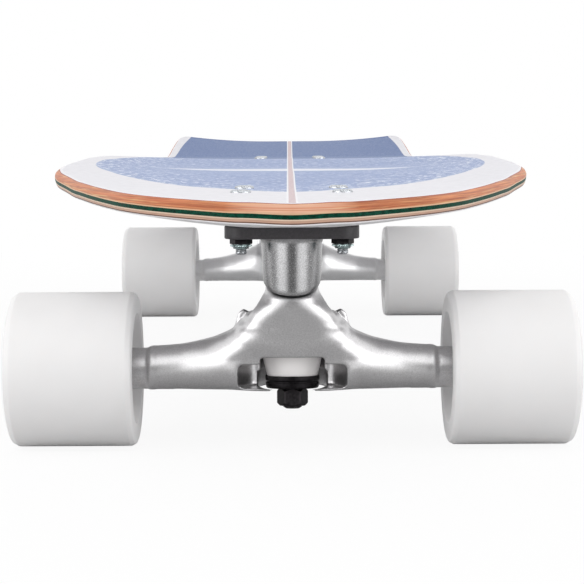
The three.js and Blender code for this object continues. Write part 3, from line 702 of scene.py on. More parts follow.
# Deck. Sections by share of the length between two places: share, half width as a share of the
# deck's, lift to the riser's height, kick, concave and thickness as shares of the sizes below
NOSE_Y, TAIL_Y = -381.0, 381.0
DECK_SECTIONS = [
    [(-381, -203.4), [
        [0, .03, .02, 0, 0, .55], [.014, .058, .02, 0, .02, .56], [.038, .104, .02, 0, .05, .57],
        [.084, .163, .01, 0, .03, .6], [.189, .257, 0, 0, .04, .67], [.287, .345, 0, 0, .06, .78],
        [.394, .433, 0, 0, .1, .9], [.528, .523, 0, 0, .17, 1], [.631, .577, 0, 0, .24, 1],
        [.794, .656, 0, 0, .38, 1], [1, .742, 0, 0, .54, 1]]],
    [(-203.4, 184.4), [
        [.114, .829, .14, 0, .58, 1], [.224, .909, .32, 0, .6, 1], [.318, .952, .45, 0, .66, 1],
        [.489, .984, .45, 0, .94, 1], [.608, .988, .45, 0, 1.14, 1], [.731, .982, .45, 0, 1.34, 1],
        [.858, .968, .76, 0, .96, 1], [1, .898, 1, 0, .46, 1]]],
    [(184.4, 277), [
        [.477, .797, 1, 0, .22, 1], [.8, .742, 1, 0, .1, 1], [1, .722, 1, .02, .09, 1]]],
    [(277, 381), [
        [.158, .716, 1, .16, .15, .98], [.413, .711, 1, .43, .38, .92],
        [.707, .703, 1, .74, .64, .8], [.89, .694, 1, .92, .78, .7], [.963, .68, 1, .98, .8, .66],
        [1, .65, 1, 1, .8, .64]]],
]
ROWS = np.array([[a + (b - a) * s[0], *s[1:]] for (a, b), group in DECK_SECTIONS for s in group])
DECK_THICK = 13.2
DECK_TOP = PLATE_TOP + DECK_THICK
CONCAVE = 5.2
TAIL_KICK = 11.7
# The middle of the deck is flat to this share of the half width
FLAT_SHARE = 0.2
# The rail's height, and the depth of its widest line below the top edge
RAIL_THICK = 7.9
RAIL_SHOULDER = 3.7
# How far the rail's edges stand in, as shares of the half width
TOP_INSET, BOTTOM_INSET = 0.032, 0.012
# The radius of the tail's corners, and where the fans of the nose and the tail begin
TAIL_CORNER = 4.0
NOSE_FAN_Y, TAIL_FAN_Y = -360, 330.0


def deck_shape(y):
    y = np.clip(y, ROWS[0, 0], ROWS[-1, 0])
    return [monotone(y, ROWS[:, 0], ROWS[:, k]) for k in range(1, 6)]


def deck_middle(x, y, edge):
    """The top's height in the middle, how far it rises at the rail, the thickness there, and how
    far x is on the way from the flat middle to the edge."""
    width, lift, kick, concave, thick = deck_shape(y)
    across = np.abs(x) / np.maximum(width * HALF_WIDTH, 1e-3)
    middle = DECK_TOP + lift * RISER + kick * TAIL_KICK
    way = unit(across - FLAT_SHARE) / (edge - FLAT_SHARE)
    return middle, concave * CONCAVE, thick * DECK_THICK, way


def deck_top_height(x, y):
    middle, rise, _, way = deck_middle(x, y, 1 - TOP_INSET)
    return middle + rise * np.minimum(way ** 2, 1.0)


def deck_bottom_height(x, y):
    middle, rise, thick, way = deck_middle(x, y, 1 - BOTTOM_INSET)
    low = middle - thick
    return low + (middle + rise - RAIL_THICK - low) * np.minimum(way ** 1.5, 1.0)


def deck_outline():
    """Half the outline in plan, from the nose's tip round to the middle of the tail."""
    y = np.concatenate([
        NOSE_Y + 6 * np.linspace(0, 1, 12) ** 2,
        np.linspace(NOSE_Y + 7, TAIL_Y - TAIL_CORNER, 420),
    ])
    tip = unit((y - NOSE_Y) / 5)
    width = deck_shape(y)[0] * HALF_WIDTH * np.sqrt(tip * (2 - tip))
    flat = float(width[-1]) - TAIL_CORNER
    angles = np.linspace(0, math.pi / 2, 9)[1:]
    end = np.linspace(flat, 0, 40)[1:]
    return np.concatenate([
        np.column_stack([width, y]),
        np.array([flat, TAIL_Y - TAIL_CORNER])
        + TAIL_CORNER * np.column_stack([np.cos(angles), np.sin(angles)]),
        np.column_stack([end, np.full(len(end), TAIL_Y)]),
    ])


def outline_normals(outline):
    before = np.vstack([outline[1] * [-1, 1], outline[:-1]])
    after = np.vstack([outline[1:], outline[-2] * [-1, 1]])
    along = after - before
    normals = np.column_stack([along[:, 1], -along[:, 0]])
    return normals / np.maximum(np.linalg.norm(normals, axis=1), 1e-9)[:, None]


# The rail's layers: the depth below the top edge at which each ends, and its finish
PLIES = [
    (0.12, 1), (0.3, 1), (0.5, 2), (0.8, 3), (1.3, 3), (1.9, 3), (2.6, 3), (3.2, 3), (3.65, 3),
    (4.1, 4), (4.8, 5), (5.7, 5), (6.15, 6), (6.6, 7), (7.0, 7), (7.45, 8), (7.7, 9), (7.9, 9),
]
TOP_FINISH, BOTTOM_FINISH = 0, 10


def rail_inset(depth, top_inset, bottom_inset):
    if depth < RAIL_SHOULDER:
        return top_inset * (1 - (1 - (1 - depth / RAIL_SHOULDER) ** 1.7) ** (1 / 1.7))
    share = (depth - RAIL_SHOULDER) / (RAIL_THICK - RAIL_SHOULDER)
    return bottom_inset * (1 - (1 - share ** 2) ** 0.5)


def deck_half():
    """Rows of points over the top, down the rail and back below, and each strip's finish."""
    outline = deck_outline()
    normals = outline_normals(outline)
    rail_z = deck_top_height(outline[:, 0], outline[:, 1])
    reach = np.clip(deck_shape(outline[:, 1])[0] * HALF_WIDTH, 20, HALF_WIDTH)

    def moved_in(inset):
        moved = outline - normals * inset[:, None]
        moved[:, 0] = np.maximum(moved[:, 0], 0)
        return moved

    top_inset, bottom_inset = TOP_INSET * reach, BOTTOM_INSET * reach
    top_edge, bottom_edge = moved_in(top_inset), moved_in(bottom_inset)
    # Where each row across starts on the centre line: at its own place, but spread out at the ends
    spine = outline[:, 1].copy()
    far = spine > TAIL_FAN_Y
    steps = np.arange(1, far.sum() + 1) / far.sum()
    near = spine < NOSE_FAN_Y
    spine[far] = TAIL_FAN_Y + (top_edge[-1, 1] - TAIL_FAN_Y) * steps
    spine[near] = np.maximum(spine[near], NOSE_Y + top_inset[0])

    def across(edge, share, height):
        x = share * edge[:, 0]
        y = spine + (edge[:, 1] - spine) * share ** 2
        return np.column_stack([x, y, height(x, y)])

    shares = np.concatenate([np.linspace(0, 0.06, 4)[:-1], np.linspace(0.06, 1, 34)])
    rows = [across(top_edge, share, deck_top_height) for share in shares]
    rows[-1][:, 2] = rail_z
    finishes = [TOP_FINISH] * (len(shares) - 1)
    for depth, finish in PLIES:
        inset = rail_inset(depth, top_inset, bottom_inset)
        rows.append(np.column_stack([moved_in(inset), rail_z - depth]))
        finishes.append(finish)
    for share in shares[::-1][1:]:
        rows.append(across(bottom_edge, share, deck_bottom_height))
        finishes.append(BOTTOM_FINISH)
    return rows, finishes


def make_deck(materials):
    rows, finishes = deck_half()
    count = len(rows[0])
    points = np.concatenate(rows)
    faces, which = [], []
    for r, finish in enumerate(finishes):
        for a in range(r * count, (r + 1) * count - 1):
            b = a + count
            faces.append((a, a + 1, b + 1, b))
            which.append(finish)
    faces += [tuple(len(points) + v for v in face[::-1]) for face in faces]
    points = np.concatenate([points, points * np.array([-1, 1, 1])])
    mesh = make_mesh("deck_board", points, faces, materials, which + which, 50)
    add_piece("deck_board", mesh, "board", ["deck"])


# The print: half the width of the blue field along the board, and where the tail's deeper blue,
# which is painted shade, begins
FIELD = [
    (-266, 0), (-262, 6.5), (-250, 15), (-230, 25), (-203, 42.5), (-163, 66), (-120, 84), (-93, 93),
    (-72, 98.5), (-30, 107.5), (0, 112), (30, 114.5), (60, 115), (109, 111), (150, 104.5),
    (185, 97), (230, 89.5), (277, 86.5), (330, 84), (381, 80),
]
FIELD_TIP = -266.0
FIELD_SCALE = 130
TAIL_SHADE_FROM = 196.0
# The pale lens across the middle, in metres: its edges at the centre line, how much each bends
# towards the sides, and the half width at which the bend is reached
LENS_NEAR, LENS_FAR = -0.017, 0.060
LENS_NEAR_BEND, LENS_FAR_BEND = 0.040, 0.036
LENS_HALF_WIDTH = 0.082


def deck_print():
    material, n, shader = new_material("deck_print")
    x, y, _ = n.axes()
    side = n.math("ABSOLUTE", x)
    unit = [((a - NOSE_Y) / (TAIL_Y - NOSE_Y), b / FIELD_SCALE) for a, b in FIELD]
    reach = n.curve(n.remap(y, NOSE_Y * MM, TAIL_Y * MM), [(0, 0)] + unit)
    gap = n.minus(n.times(reach, FIELD_SCALE * MM), side)
    behind_tip = n.math("GREATER_THAN", y, FIELD_TIP * MM)
    field = n.times(n.remap(gap, -0.0003, 0.0003), behind_tip)
    # Flecks crowd towards the field's edge and thin out along the middle
    tone = n.noise(420, 3, 0.6)
    blue = n.tone(tone, (136, 153, 194), (152, 169, 207))
    fleck = n.add("ShaderNodeSeparateColor")
    n.feed(fleck, Color=n.specks(520, "Color"))
    bright = n.remap(fleck.outputs[0], 0.78, 0.86)
    crowd = n.remap(gap, 0.004, 0.05, 0.95, 0.35)
    blue = n.mix(n.times(bright, crowd), blue, (240, 243, 251))
    dim = n.remap(fleck.outputs[1], 0.9, 0.96)
    blue = n.mix(n.times(dim, 0.35), blue, (96, 112, 160))
    # The tail is a deeper, plain blue: painted shade for the kicked tail, set against the paler
    # near field
    tail_painted_shade = n.tone(tone, (94, 115, 160), (102, 123, 167))
    blue = n.mix(n.remap(y, (TAIL_SHADE_FROM - 3) * MM, (TAIL_SHADE_FROM + 3) * MM), blue, tail_painted_shade)
    white = n.tone(n.noise(300, 2), (228, 227, 232), (236, 235, 240))
    colour = n.mix(field, white, blue)
    # A pale lens crosses the middle, crisp at its near edge and faded at its far one
    square = n.times(x, x)
    near_edge = n.math("ADD", LENS_NEAR, n.times(square, LENS_NEAR_BEND / LENS_HALF_WIDTH ** 2))
    far_edge = n.minus(LENS_FAR, n.times(square, LENS_FAR_BEND / LENS_HALF_WIDTH ** 2))
    lens = n.times(n.remap(n.minus(y, near_edge), 0, 0.0008),
                   n.remap(n.minus(far_edge, y), 0, 0.03, 0, 0.9))
    colour = n.mix(lens, colour, (238, 240, 248))
    # The wooden stringer along the centre, with a white line on each side
    wood = n.tone(n.noise(60, 4, 0.6, (40, 1, 1)), (206, 184, 190), (216, 198, 198))
    colour = n.mix(n.remap(side, 0.0014, 0.0012), colour, wood)
    line = n.times(n.remap(side, 0.0012, 0.0014), n.remap(side, 0.0021, 0.0019))
    colour = n.mix(line, colour, (244, 243, 246))
    grit = n.specks(700)
    height = n.times(grit, n.remap(field, 0, 1, 0.15, 1))
    n.feed(shader, Base_Color=colour, Roughness=n.remap(grit, 0, 0.6, 0.3, 0.5),
           Normal=n.bump(height, 0.2, 0.0002), Specular_IOR_Level=0.12)
    return material


def wood_ply(name, dark, light, scale=60, stretch=(1.2, 1.2, 90), gloss=0.2, figure=None):
    return surface(name, dark, light, (0.36, 0.5), (scale, 6, 0.7, stretch), (0.12, 0.0002),
                   figure=figure, spread=(0.36, 0.62), Specular_IOR_Level=gloss)


def maple_figure(n, colour):
    """Pale patches, dark lines, and paler end grain with its layers across the nose."""
    patch = n.noise(22, 3, 0.6, (1, 1, 40))
    line = n.noise(26, 3, 0.6, (1, 1, 110))
    layer = n.noise(40, 3, 0.6, (0.25, 0.25, 60))
    for share, over in (
        (n.remap(patch, 0.54, 0.66, 0, 0.8), (222, 178, 124)),
        (n.remap(line, 0.6, 0.68, 0, 0.6), (120, 56, 28)),
        (n.remap(n.axes()[1], -0.362, -0.379, 0, 0.7), (240, 194, 168)),
        (n.remap(layer, 0.52, 0.66, 0, 0.7), (204, 112, 74)),
    ):
        colour = n.mix(share, colour, over)
    return colour


# In the order of the numbers in PLIES
DECK_FINISHES = [
    deck_print(),
    lacquer("rail_white", (228, 227, 232), (236, 235, 240)),
    wood_ply("ply_red_line", (132, 58, 44), (168, 88, 66)),
    wood_ply("ply_maple", (148, 72, 36), (220, 144, 98), 18, (1, 1, 90), figure=maple_figure),
    wood_ply("ply_tan", (212, 170, 136), (226, 188, 150)),
    wood_ply("ply_green", (2, 32, 22), (8, 76, 58), 420, (1, 1, 3), 0.03),
    wood_ply("ply_pale", (208, 184, 160), (226, 202, 180)),
    wood_ply("ply_rose", (178, 140, 120), (204, 166, 144)),
    wood_ply("ply_brown_line", (86, 62, 52), (120, 88, 72)),
    lacquer("underside_edge", (226, 224, 226), (236, 234, 236)),
    lacquer("underside_white", (230, 229, 231), (240, 239, 241)),
]


# Plates and riser: ends and corner radius in the truck's own frame, and the bolt holes
SLAB_FRONT, SLAB_REAR, SLAB_CORNER = -33.0, 45.0, 7.0
HOLE_X, HOLE_Y, HOLE_RADIUS = 20.65, (-21.0, 33.0), 2.8


def slab_mesh(name, low, high, bevel, material):
    """A plate with rounded corners, bolt holes and softened edges."""
    half = (PLATE_HIGH[0] - PLATE_LOW[0]) / 2

    def arc(cx, cy, radius, angles):
        return [(cx + radius * math.cos(a), cy + radius * math.sin(a)) for a in angles]

    outline = []
    right, front, rear = half - SLAB_CORNER, SLAB_FRONT + SLAB_CORNER, SLAB_REAR - SLAB_CORNER
    quarter = np.linspace(0, math.pi / 2, 13)
    centres = (right, front), (right, rear), (-right, rear), (-right, front)
    for turns, (cx, cy) in enumerate(centres):
        outline += arc(cx, cy, SLAB_CORNER - bevel, quarter + (turns - 1) * math.pi / 2)
    loops = [outline]
    for hx in (-HOLE_X, HOLE_X):
        for hy in HOLE_Y:
            loops.append(arc(hx, hy, HOLE_RADIUS + bevel, around(24)))
    curve = bpy.data.curves.new(name, "CURVE")
    curve.dimensions = "2D"
    curve.fill_mode = "BOTH"
    for loop in loops:
        spline = curve.splines.new("POLY")
        spline.points.add(len(loop) - 1)
        for point, (px, py) in zip(spline.points, loop):
            point.co = (px * MM, py * MM, 0, 1)
        spline.use_cyclic_u = True
    curve.extrude = ((high - low) / 2 - bevel) * MM
    curve.bevel_depth = bevel * MM
    curve.bevel_resolution = 2
    holder = new_object(name, curve)
    bpy.context.view_layer.update()
    depsgraph = bpy.context.evaluated_depsgraph_get()
    mesh = bpy.data.meshes.new_from_object(holder.evaluated_get(depsgraph))
    bpy.data.objects.remove(holder)
    mesh.transform(moved(0, 0, (low + high) / 2))
    mesh.name = name
    clean_mesh(mesh)
    mesh.materials.clear()
    mesh.materials.append(material)
    mesh.shade_smooth()
    mesh.set_sharp_from_angle(angle=math.radians(40))
    return mesh


def make_plates():
    plate = slab_mesh("mounting_plate", PLATE_BOTTOM, PLATE_TOP, 0.5, PLATE_PAINT)
    for truck, place in TRUCKS.items():
        replaced = [f"{truck}_mounting_plate"]
        add_piece(f"{truck}_plate", plate, "board", replaced, place)
    riser = slab_mesh("riser_pad", PLATE_TOP + SLACK, PLATE_TOP + RISER, 0.4, BLACK_RUBBER)
    add_piece("rear_riser", riser, "board", ["rear_riser_pad"], TRUCKS["rear"])


# Kingpin stack: radius and height along the pin from the ring, and the roundings of the corners
PIN_THREAD = (3.9, 0.45, 1.25, -26.3, -18.2)
PIN_TIP = [(0, -26.9), (2.9, -26.9), (3.4, -26.5)]
PIN_SHANK = [
    (3.9, -17.5), (3.9, 17.9), (9.6, 17.9), (10, 18.3), (10, 19.7), (9.6, 20.1), (5.4, 20.1),
    (5.2, 20.4), (5.2, 31.2), (3.9, 31.2), (3.9, 41.4), (6.8, 41.4), (7.2, 41.8), (7.2, 45.2),
    (6.8, 45.6), (0, 45.6)]
UPPER_BUSHING = [
    (5.2, 4.7), (11.2, 4.7), (12, 5.5), (11.6, 7.4), (11.45, 9), (11.3, 11.2), (11.45, 13.5),
    (11.6, 15.2), (12, 17), (11.2, 17.8), (4.2, 17.8)]
LOWER_BUSHING = [
    (4.2, -14.8), (9.8, -14.8), (10.35, -14.2), (10.94, -11.75), (11.53, -9.3), (12.11, -6.85),
    (12.7, -4.4), (12.7, -2.9), (12.1, -2.3), (5.0, -2.3)]
CUP_WASHER = [
    (4.2, -14.9), (10.5, -14.9), (10.8, -12.9), (11.4, -12.9), (11.4, -14.7), (10.95, -15.15),
    (10.95, -15.55), (11.25, -15.9), (11.15, -17.6), (10.7, -18.2), (4.2, -18.2)]
PIVOT_CUP = [(0, 12.5), (5.5, 12.5), (5.5, 0.9), (6.9, 0.8), (6.9, 14.9), (0, 14.9)]
LOWER_ROUNDING = [0, .4, .5, 0, 0, 0, 1.4, .5, .4, 0]
WASHER_ROUNDING = [0, .3, .2, .3, .3, .1, .1, .3, .3, .4, 0]


def hex_nut_mesh(name, flats, bore, low, high, chamfer, material, collar=0.0):
    """A six-sided nut with chamfered ends; a collar of that height holds a nylon ring."""
    angles = around(72, 0.5)
    flat = flats / 2
    hexa = hexagon(angles, flats)
    corner = flat / math.cos(math.pi / 6)
    drop = chamfer * np.maximum(0.0, hexa - flat * 0.98) / (corner - flat)
    top = high - collar
    table = [
        (bore, low + 0.25), (bore + 0.3, low), (flat * 0.94, low), (hexa - 0.12, low + drop),
        (hexa, low + drop + 0.18), (hexa, top - drop - 0.18), (hexa - 0.12, top - drop),
        (flat * 0.94, top)]
    if collar > 0:
        table += [
            (flat * 0.88, top + 0.1), (flat * 0.86, high - 0.25), (flat * 0.80, high),
            (bore + 1.0, high), (bore + 0.9, high - 0.3)]
    inner = high - (0.3 if collar else 0.0)
    table += [(bore + 0.3, inner), (bore, inner - 0.25)]
    return ring_mesh(name, table, angles, [material], smooth_angle=30)


def make_kingpin_stack():
    on_pin = aligned(PIN_AXIS, RING)
    on_steer = aligned(STEER_AXIS, MOUTH)
    kingpin = threaded_mesh("kingpin_shank", PIN_TIP, PIN_THREAD, PIN_SHANK, 48, DARK_STEEL)
    angles = around(72)
    upper, lower, washer = (
        ring_mesh(name, rounded(profile, rounding), angles, [material])
        for name, profile, rounding, material in (
            ("upper_bushing_body", UPPER_BUSHING, 0.7, BUSHING_WHITE),
            ("lower_bushing_body", LOWER_BUSHING, LOWER_ROUNDING, BUSHING_WHITE),
            ("cup_washer_body", CUP_WASHER, WASHER_ROUNDING, WASHER_BLACK)))
    nut = hex_nut_mesh("kingpin_nut_body", 11.6, 4.1, -25.7, -18.3, 1.1, DARK_STEEL)
    cup = ring_mesh("pivot_cup_body", PIVOT_CUP, around(48), [BLACK_RUBBER], False)
    for truck, place in TRUCKS.items():
        at_pin, at_steer = place @ on_pin, place @ on_steer
        replaced = [f"{truck}_kingpin"]
        add_piece(f"{truck}_kingpin_shank", kingpin, "board", replaced, at_pin)
        # Each bushing is pressed on the ring of the hanger at one end, and is held by the kingpin's
        # flange or by the washer at the other
        bushings = (("upper", upper, 17.4, 5.1), ("lower", lower, -14.4, -2.7))
        for part, mesh, held, pressed in bushings:
            piece = add_piece(f"{truck}_{part}_bushing_body", mesh.copy(), None,
                              [f"{truck}_{part}_bushing"], at_pin)
            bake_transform(piece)
        for part, mesh, slot, at in (
            ("cup_washer", washer, "dark_steel", at_pin),
            ("kingpin_nut", nut, "dark_steel", at_pin),
            ("pivot_cup", cup, "black_rubber", at_steer),
        ):
            add_piece(f"{truck}_{part}_body", mesh, "board", [f"{truck}_{part}"], at)


# Wheels: radius and distance from a wheel's inner face, and the roundings of the corners
WHEEL_INNER = 65.5
WHEEL = [
    (11.15, 10.7), (14.2, 10.7), (14.9, 10.2), (22.6, 1.0), (23.4, 0.0), (30.6, 0.0), (31.6, 0.5),
    (32.5, 2.2), (32.5, 49.2), (31.2, 51.5), (29.6, 52.0), (23.0, 52.0), (21.3, 51.1),
    (14.9, 43.6), (14.2, 43.1), (11.15, 43.1)]
WHEEL_ROUNDING = [0, .5, .8, .7, .6, .5, .9, 1.4, 2.0, 1.4, 1.6, 1.0, 1.2, .8, .5, 0]
BEARING = [
    (6.2, 0.15), (7.2, 0.0), (7.5, 0.35), (9.6, 0.35), (9.9, 0.0), (10.6, 0.0), (10.85, 0.3),
    (10.85, 6.7), (10.6, 7.0), (9.9, 7.0), (9.6, 6.65), (7.5, 6.65), (7.2, 7.0), (6.2, 6.85)]
BEARING_STARTS = (("inner", 11.0), ("outer", 35.8))
SLEEVE = [(4.3, 11), (5.9, 11), (5.9, 42.8), (4.3, 42.8)]
AXLE_NUT_FROM, AXLE_NUT_TO, AXLE_NUT_COLLAR = 43.1, 50.0, 2.0
# From the middle of the truck outwards
AXLE_THREAD = (4.0, 0.42, 1.25, 105, 115.4)
AXLE_START = [(0, 26), (4.0, 26), (4.0, 100)]
AXLE_END = [(3.2, 116.0), (2.9, 116.3), (0, 116.3)]


def from_middle(profile):
    return [(radius, height + WHEEL_INNER) for radius, height in profile]


def make_wheels():
    wheel = rounded(from_middle(WHEEL), WHEEL_ROUNDING, 5)
    tyre = ring_mesh("wheel_tyre", wheel, around(128), [WHEEL_WHITE])
    bearing = ring_mesh("bearing_ring", rounded(BEARING, 0.1, 2), around(72), [BEARING_STEEL])
    sleeve = ring_mesh("axle_sleeve", from_middle(SLEEVE), around(48), [ZINC])
    nut = hex_nut_mesh("axle_nut_body", 13, 4.1, AXLE_NUT_FROM + WHEEL_INNER,
                       AXLE_NUT_TO + WHEEL_INNER, 1.3, ZINC, AXLE_NUT_COLLAR)
    axle = threaded_mesh("axle_rod", AXLE_START, AXLE_THREAD, AXLE_END, 40, ZINC)
    fixed = (("sleeve", sleeve, "bearing_sleeve"), ("nut", nut, "axle_nut"), ("rod", axle, "axle"))
    along_x = Matrix.Rotation(math.pi / 2, 4, "Y")
    for truck, place in TRUCKS.items():
        reach, facing = (0.0, 1) if truck == "front" else (REAR_REACH, -1)
        for side in (1, -1):
            label = f"{truck}_{'left' if side * facing > 0 else 'right'}"
            turn = Matrix.Identity(4) if side > 0 else Matrix.Rotation(math.pi, 4, "Z")
            at = place @ turn @ moved(reach, 0, AXLE_Z) @ along_x
            wheel_body, hanger_body = f"{label}_wheel_body", f"{truck}_hanger_body"
            add_piece(f"{label}_tyre", tyre, wheel_body, [f"{label}_wheel"], at)
            for which, start in BEARING_STARTS:
                add_piece(f"{label}_{which}_bearing_ring", bearing, wheel_body,
                          [f"{label}_{which}_bearing"], at @ moved(0, 0, WHEEL_INNER + start))
            for part, mesh, node in fixed:
                replaced = [f"{label}_{node}"]
                add_piece(f"{label}_{part}", mesh, hanger_body, replaced, at)


def lock_nut_mesh():
    """A dark six-sided nut with a bright toothed flange under it."""
    sides = 96
    angles = around(sides)
    hexa = hexagon(angles, 8.0)
    teeth = 0.22 * np.cos(angles * 24)
    high, low = PLATE_BOTTOM - SLACK, PLATE_BOTTOM - 4.4
    middle = high - 2.5
    table = [
        (2.5, high), (np.minimum(hexa, 3.9), high), (hexa - 0.1, high - 0.25), (hexa, high - 0.45),
        (hexa, middle + 0.3), (hexa - 0.15, middle + 0.1), (3.7, middle), (3.7, middle - 0.15),
        (4.25 + teeth, middle - 0.3), (4.3 + teeth, middle - 0.8), (3.9, middle - 1.0),
        (3.3, middle - 1.2), (3.1, low), (2.5, low)]
    flange_from = 6
    which = [int(ring >= flange_from) for ring in range(len(table)) for _ in range(sides)]
    return ring_mesh("lock_nut_body", table, angles, [DARK_STEEL, ZINC_DARK], True, which, 30)


def make_fasteners():
    nut = lock_nut_mesh()
    tip = PLATE_BOTTOM - 6.8
    for truck, rise in (("front", 0.0), ("rear", RISER)):
        seat = DECK_TOP + rise - 0.3
        head = [
            (2.4, PLATE_BOTTOM), (2.4, seat), (4.2, seat), (4.2, seat + 0.7), (4.0, seat + 1.15),
            (3.4, seat + 1.45), (2.4, seat + 1.6), (1.7, seat + 1.6), (1.35, seat + 0.6),
            (0, seat + 0.5)]
        bolt = threaded_mesh(
            f"{truck}_bolt_body", [(0, tip), (1.6, tip), (2.1, tip + 0.4)],
            (2.3, 0.28, 0.8, PLATE_BOTTOM - 6.2, PLATE_BOTTOM - 1.0), head, 36, BOLT_ZINC)
        for number in range(1, 5):
            low, high = node_box(f"{truck}_bolt_{number}")
            spot = moved((low[0] + high[0]) / 2, (low[1] + high[1]) / 2, 0)
            add_piece(f"{truck}_bolt_body_{number}", bolt, "board",
                      [f"{truck}_bolt_{number}"], spot)
            add_piece(f"{truck}_nut_body_{number}", nut, "board",
                      [f"{truck}_lock_nut_{number}"], spot)


make_deck(DECK_FINISHES)
make_plates()
make_towers()
make_hangers()
make_kingpin_stack()
make_wheels()
make_fasteners()


# Floor, light and camera

# What bare metal sees round it, by degrees from the camera's side: a dark gap in front, a tall
# soft box on either side, a gap, a weaker bounce card, and the white backdrop behind
STUDIO_ROUND = [
    (0, 0.2), (11, 0.2), (24, 1.9), (48, 1.9), (60, 0.5), (80, 0.4), (90, 1.1), (104, 1.0),
    (113, 0.4), (127, 1.1), (180, 1.0),
]
STUDIO_TOP = max(level for _, level in STUDIO_ROUND)
STUDIO_CENTRE = (0.0, -0.2)
OVERHEAD = 1.4
SKY_LEVEL = 0.66
FLOOR_REACH = 6.0
WHITE = grey(1)


def seen_white(n):
    """One for the rays that look at the backdrop: from the camera, or by way of gloss or glass."""
    ray = n.add("ShaderNodeLightPath")
    shine = n.math("MAXIMUM", ray.outputs["Is Glossy Ray"], ray.outputs["Is Transmission Ray"])
    return n.math("MAXIMUM", ray.outputs["Is Camera Ray"], shine)


def studio_round(n, x, y):
    """The studio's level in the direction (x, y) from the board, as a share of its top."""
    compass = n.math("ARCTAN2", n.math("ABSOLUTE", x), n.times(y, -1.0))
    ramp = n.add("ShaderNodeValToRGB")
    stops = ramp.color_ramp.elements
    for angle, level in STUDIO_ROUND:
        at = angle / 180
        stop = {0.0: stops[0], 1.0: stops[-1]}.get(at) or stops.new(at)
        stop.color = grey(level / STUDIO_TOP)
    n.feed(ramp, Fac=n.remap(compass, 0, math.pi))
    return ramp.outputs[0]


def mixed_shaders(n, share, first, second):
    node = n.add("ShaderNodeMixShader")
    for value, socket in zip((share, first.outputs[0], second.outputs[0]), node.inputs):
        n.join(value, socket)
    return node.outputs[0]


def make_stage():
    r = FLOOR_REACH
    mesh = bpy.data.meshes.new("floor")
    mesh.from_pydata([(-r, -r, 0), (r, -r, 0), (r, r, 0), (-r, r, 0)], [], [(0, 1, 2, 3)])
    floor = new_object("floor", mesh)
    material, n, shader = new_material("floor_white")
    ray = n.add("ShaderNodeLightPath")
    pale = n.mix(n.noise(40, 2), (208, 208, 208), (212, 212, 212))
    n.feed(shader, Base_Color=n.mix(ray.outputs["Is Camera Ray"], pale, (252, 252, 252)),
           Roughness=0.9, Specular_IOR_Level=0.0)
    # Away from the board the floor fades into the backdrop: white to the eye, the studio to metal
    x, y, _ = n.axes()
    away = n.math("SQRT", n.math("ADD", n.times(x, x), n.times(y, y)))
    gloss = ray.outputs["Is Glossy Ray"]
    clear_fade = n.times(n.remap(away, 0.2, 0.9, 0.9, 1, "SMOOTHSTEP"), n.minus(1.0, gloss))
    gloss_fade = n.times(n.remap(away, 0.3, 0.75, 0, 1, "SMOOTHSTEP"), gloss)
    fade = n.times(n.math("ADD", clear_fade, gloss_fade), seen_white(n))
    level = studio_round(n, n.minus(x, STUDIO_CENTRE[0]), n.minus(y, STUDIO_CENTRE[1]))
    glow = n.add("ShaderNodeEmission")
    n.feed(glow, Color=n.mix(gloss, WHITE, level), Strength=n.remap(gloss, 0, 1, 1.0, STUDIO_TOP))
    output = n.tree.nodes["Material Output"]
    n.feed(output, Surface=mixed_shaders(n, fade, shader, glow))
    mesh.materials.append(material)


def area_light(name, place, target, size, power):
    light = bpy.data.lights.new(name, "AREA")
    light.shape = "RECTANGLE"
    light.size, light.size_y = size
    light.energy = power
    lamp = new_object(name, light)
    lamp.location = place
    lamp.rotation_mode = "QUATERNION"
    lamp.rotation_quaternion = (Vector(target) - Vector(place)).to_track_quat("-Z", "Y")
    lamp.visible_camera = False
    return lamp


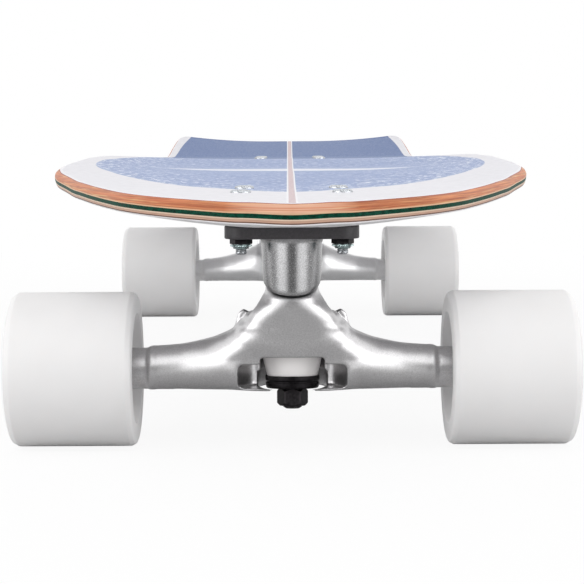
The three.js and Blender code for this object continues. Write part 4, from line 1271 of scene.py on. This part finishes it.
def make_world():
    world = bpy.data.worlds.new("studio")
    bpy.context.scene.world = world
    world.use_nodes = True
    world.node_tree.nodes.clear()
    n = Nodes(world.node_tree)
    camera_ray = n.add("ShaderNodeLightPath").outputs["Is Camera Ray"]
    x, y, z = n.axes("Generated")
    above = n.remap(z, 0.25, 0.45, 0, 1, "SMOOTHSTEP")
    view = n.mix(above, studio_round(n, x, y), grey(OVERHEAD / STUDIO_TOP))
    sky = n.add("ShaderNodeBackground")
    n.feed(sky, Color=WHITE, Strength=SKY_LEVEL)
    backdrop = n.add("ShaderNodeBackground")
    n.feed(backdrop, Color=n.mix(camera_ray, view, WHITE),
           Strength=n.remap(camera_ray, 0, 1, STUDIO_TOP, 1.0))
    output = n.add("ShaderNodeOutputWorld")
    n.feed(output, Surface=mixed_shaders(n, seen_white(n), sky, backdrop))


def make_lights():
    area_light("top_soft", (0, 0.1, 1.6), (0, 0, 0), (1.6, 1.6), 1)
    area_light("front_soft", (0, -1.35, 1.3), (0, -0.25, 0.05), (3.0, 1.3), 5)
    area_light("left_soft", (-1.5, -0.9, 0.5), (0, -0.1, 0.05), (1.4, 0.8), 9.5)
    area_light("right_soft", (1.5, -0.9, 0.5), (0, -0.1, 0.05), (1.4, 0.8), 9.5)
    back = area_light("back_soft", (0, 1.6, 0.3), (0, 0.2, 0.05), (2.4, 0.5), 6)
    back.visible_glossy = False


# Solved from the photograph: lens in millimetres, place in metres, turns in degrees
LENS, SENSOR = 97.40, 36.0
CAMERA_PLACE = (-0.0015, -0.914, 0.1293)
CAMERA_DOWN, CAMERA_YAW, CAMERA_ROLL = 5.573, -0.13, -0.28


def make_camera():
    camera = bpy.data.cameras.new("camera")
    camera.lens, camera.sensor_width, camera.clip_start = LENS, SENSOR, 0.01
    holder = new_object("camera", camera)
    turn = Matrix.Identity(3)
    for degrees, axis in ((CAMERA_YAW, "Z"), (90 - CAMERA_DOWN, "X"), (CAMERA_ROLL, "Z")):
        turn = turn @ Matrix.Rotation(math.radians(degrees), 3, axis)
    holder.rotation_mode = "QUATERNION"
    holder.rotation_quaternion = turn.to_quaternion()
    holder.location = CAMERA_PLACE
    bpy.context.scene.camera = holder


make_stage()
make_world()
make_lights()
make_camera()
bpy.context.scene.view_settings.view_transform = "Standard"
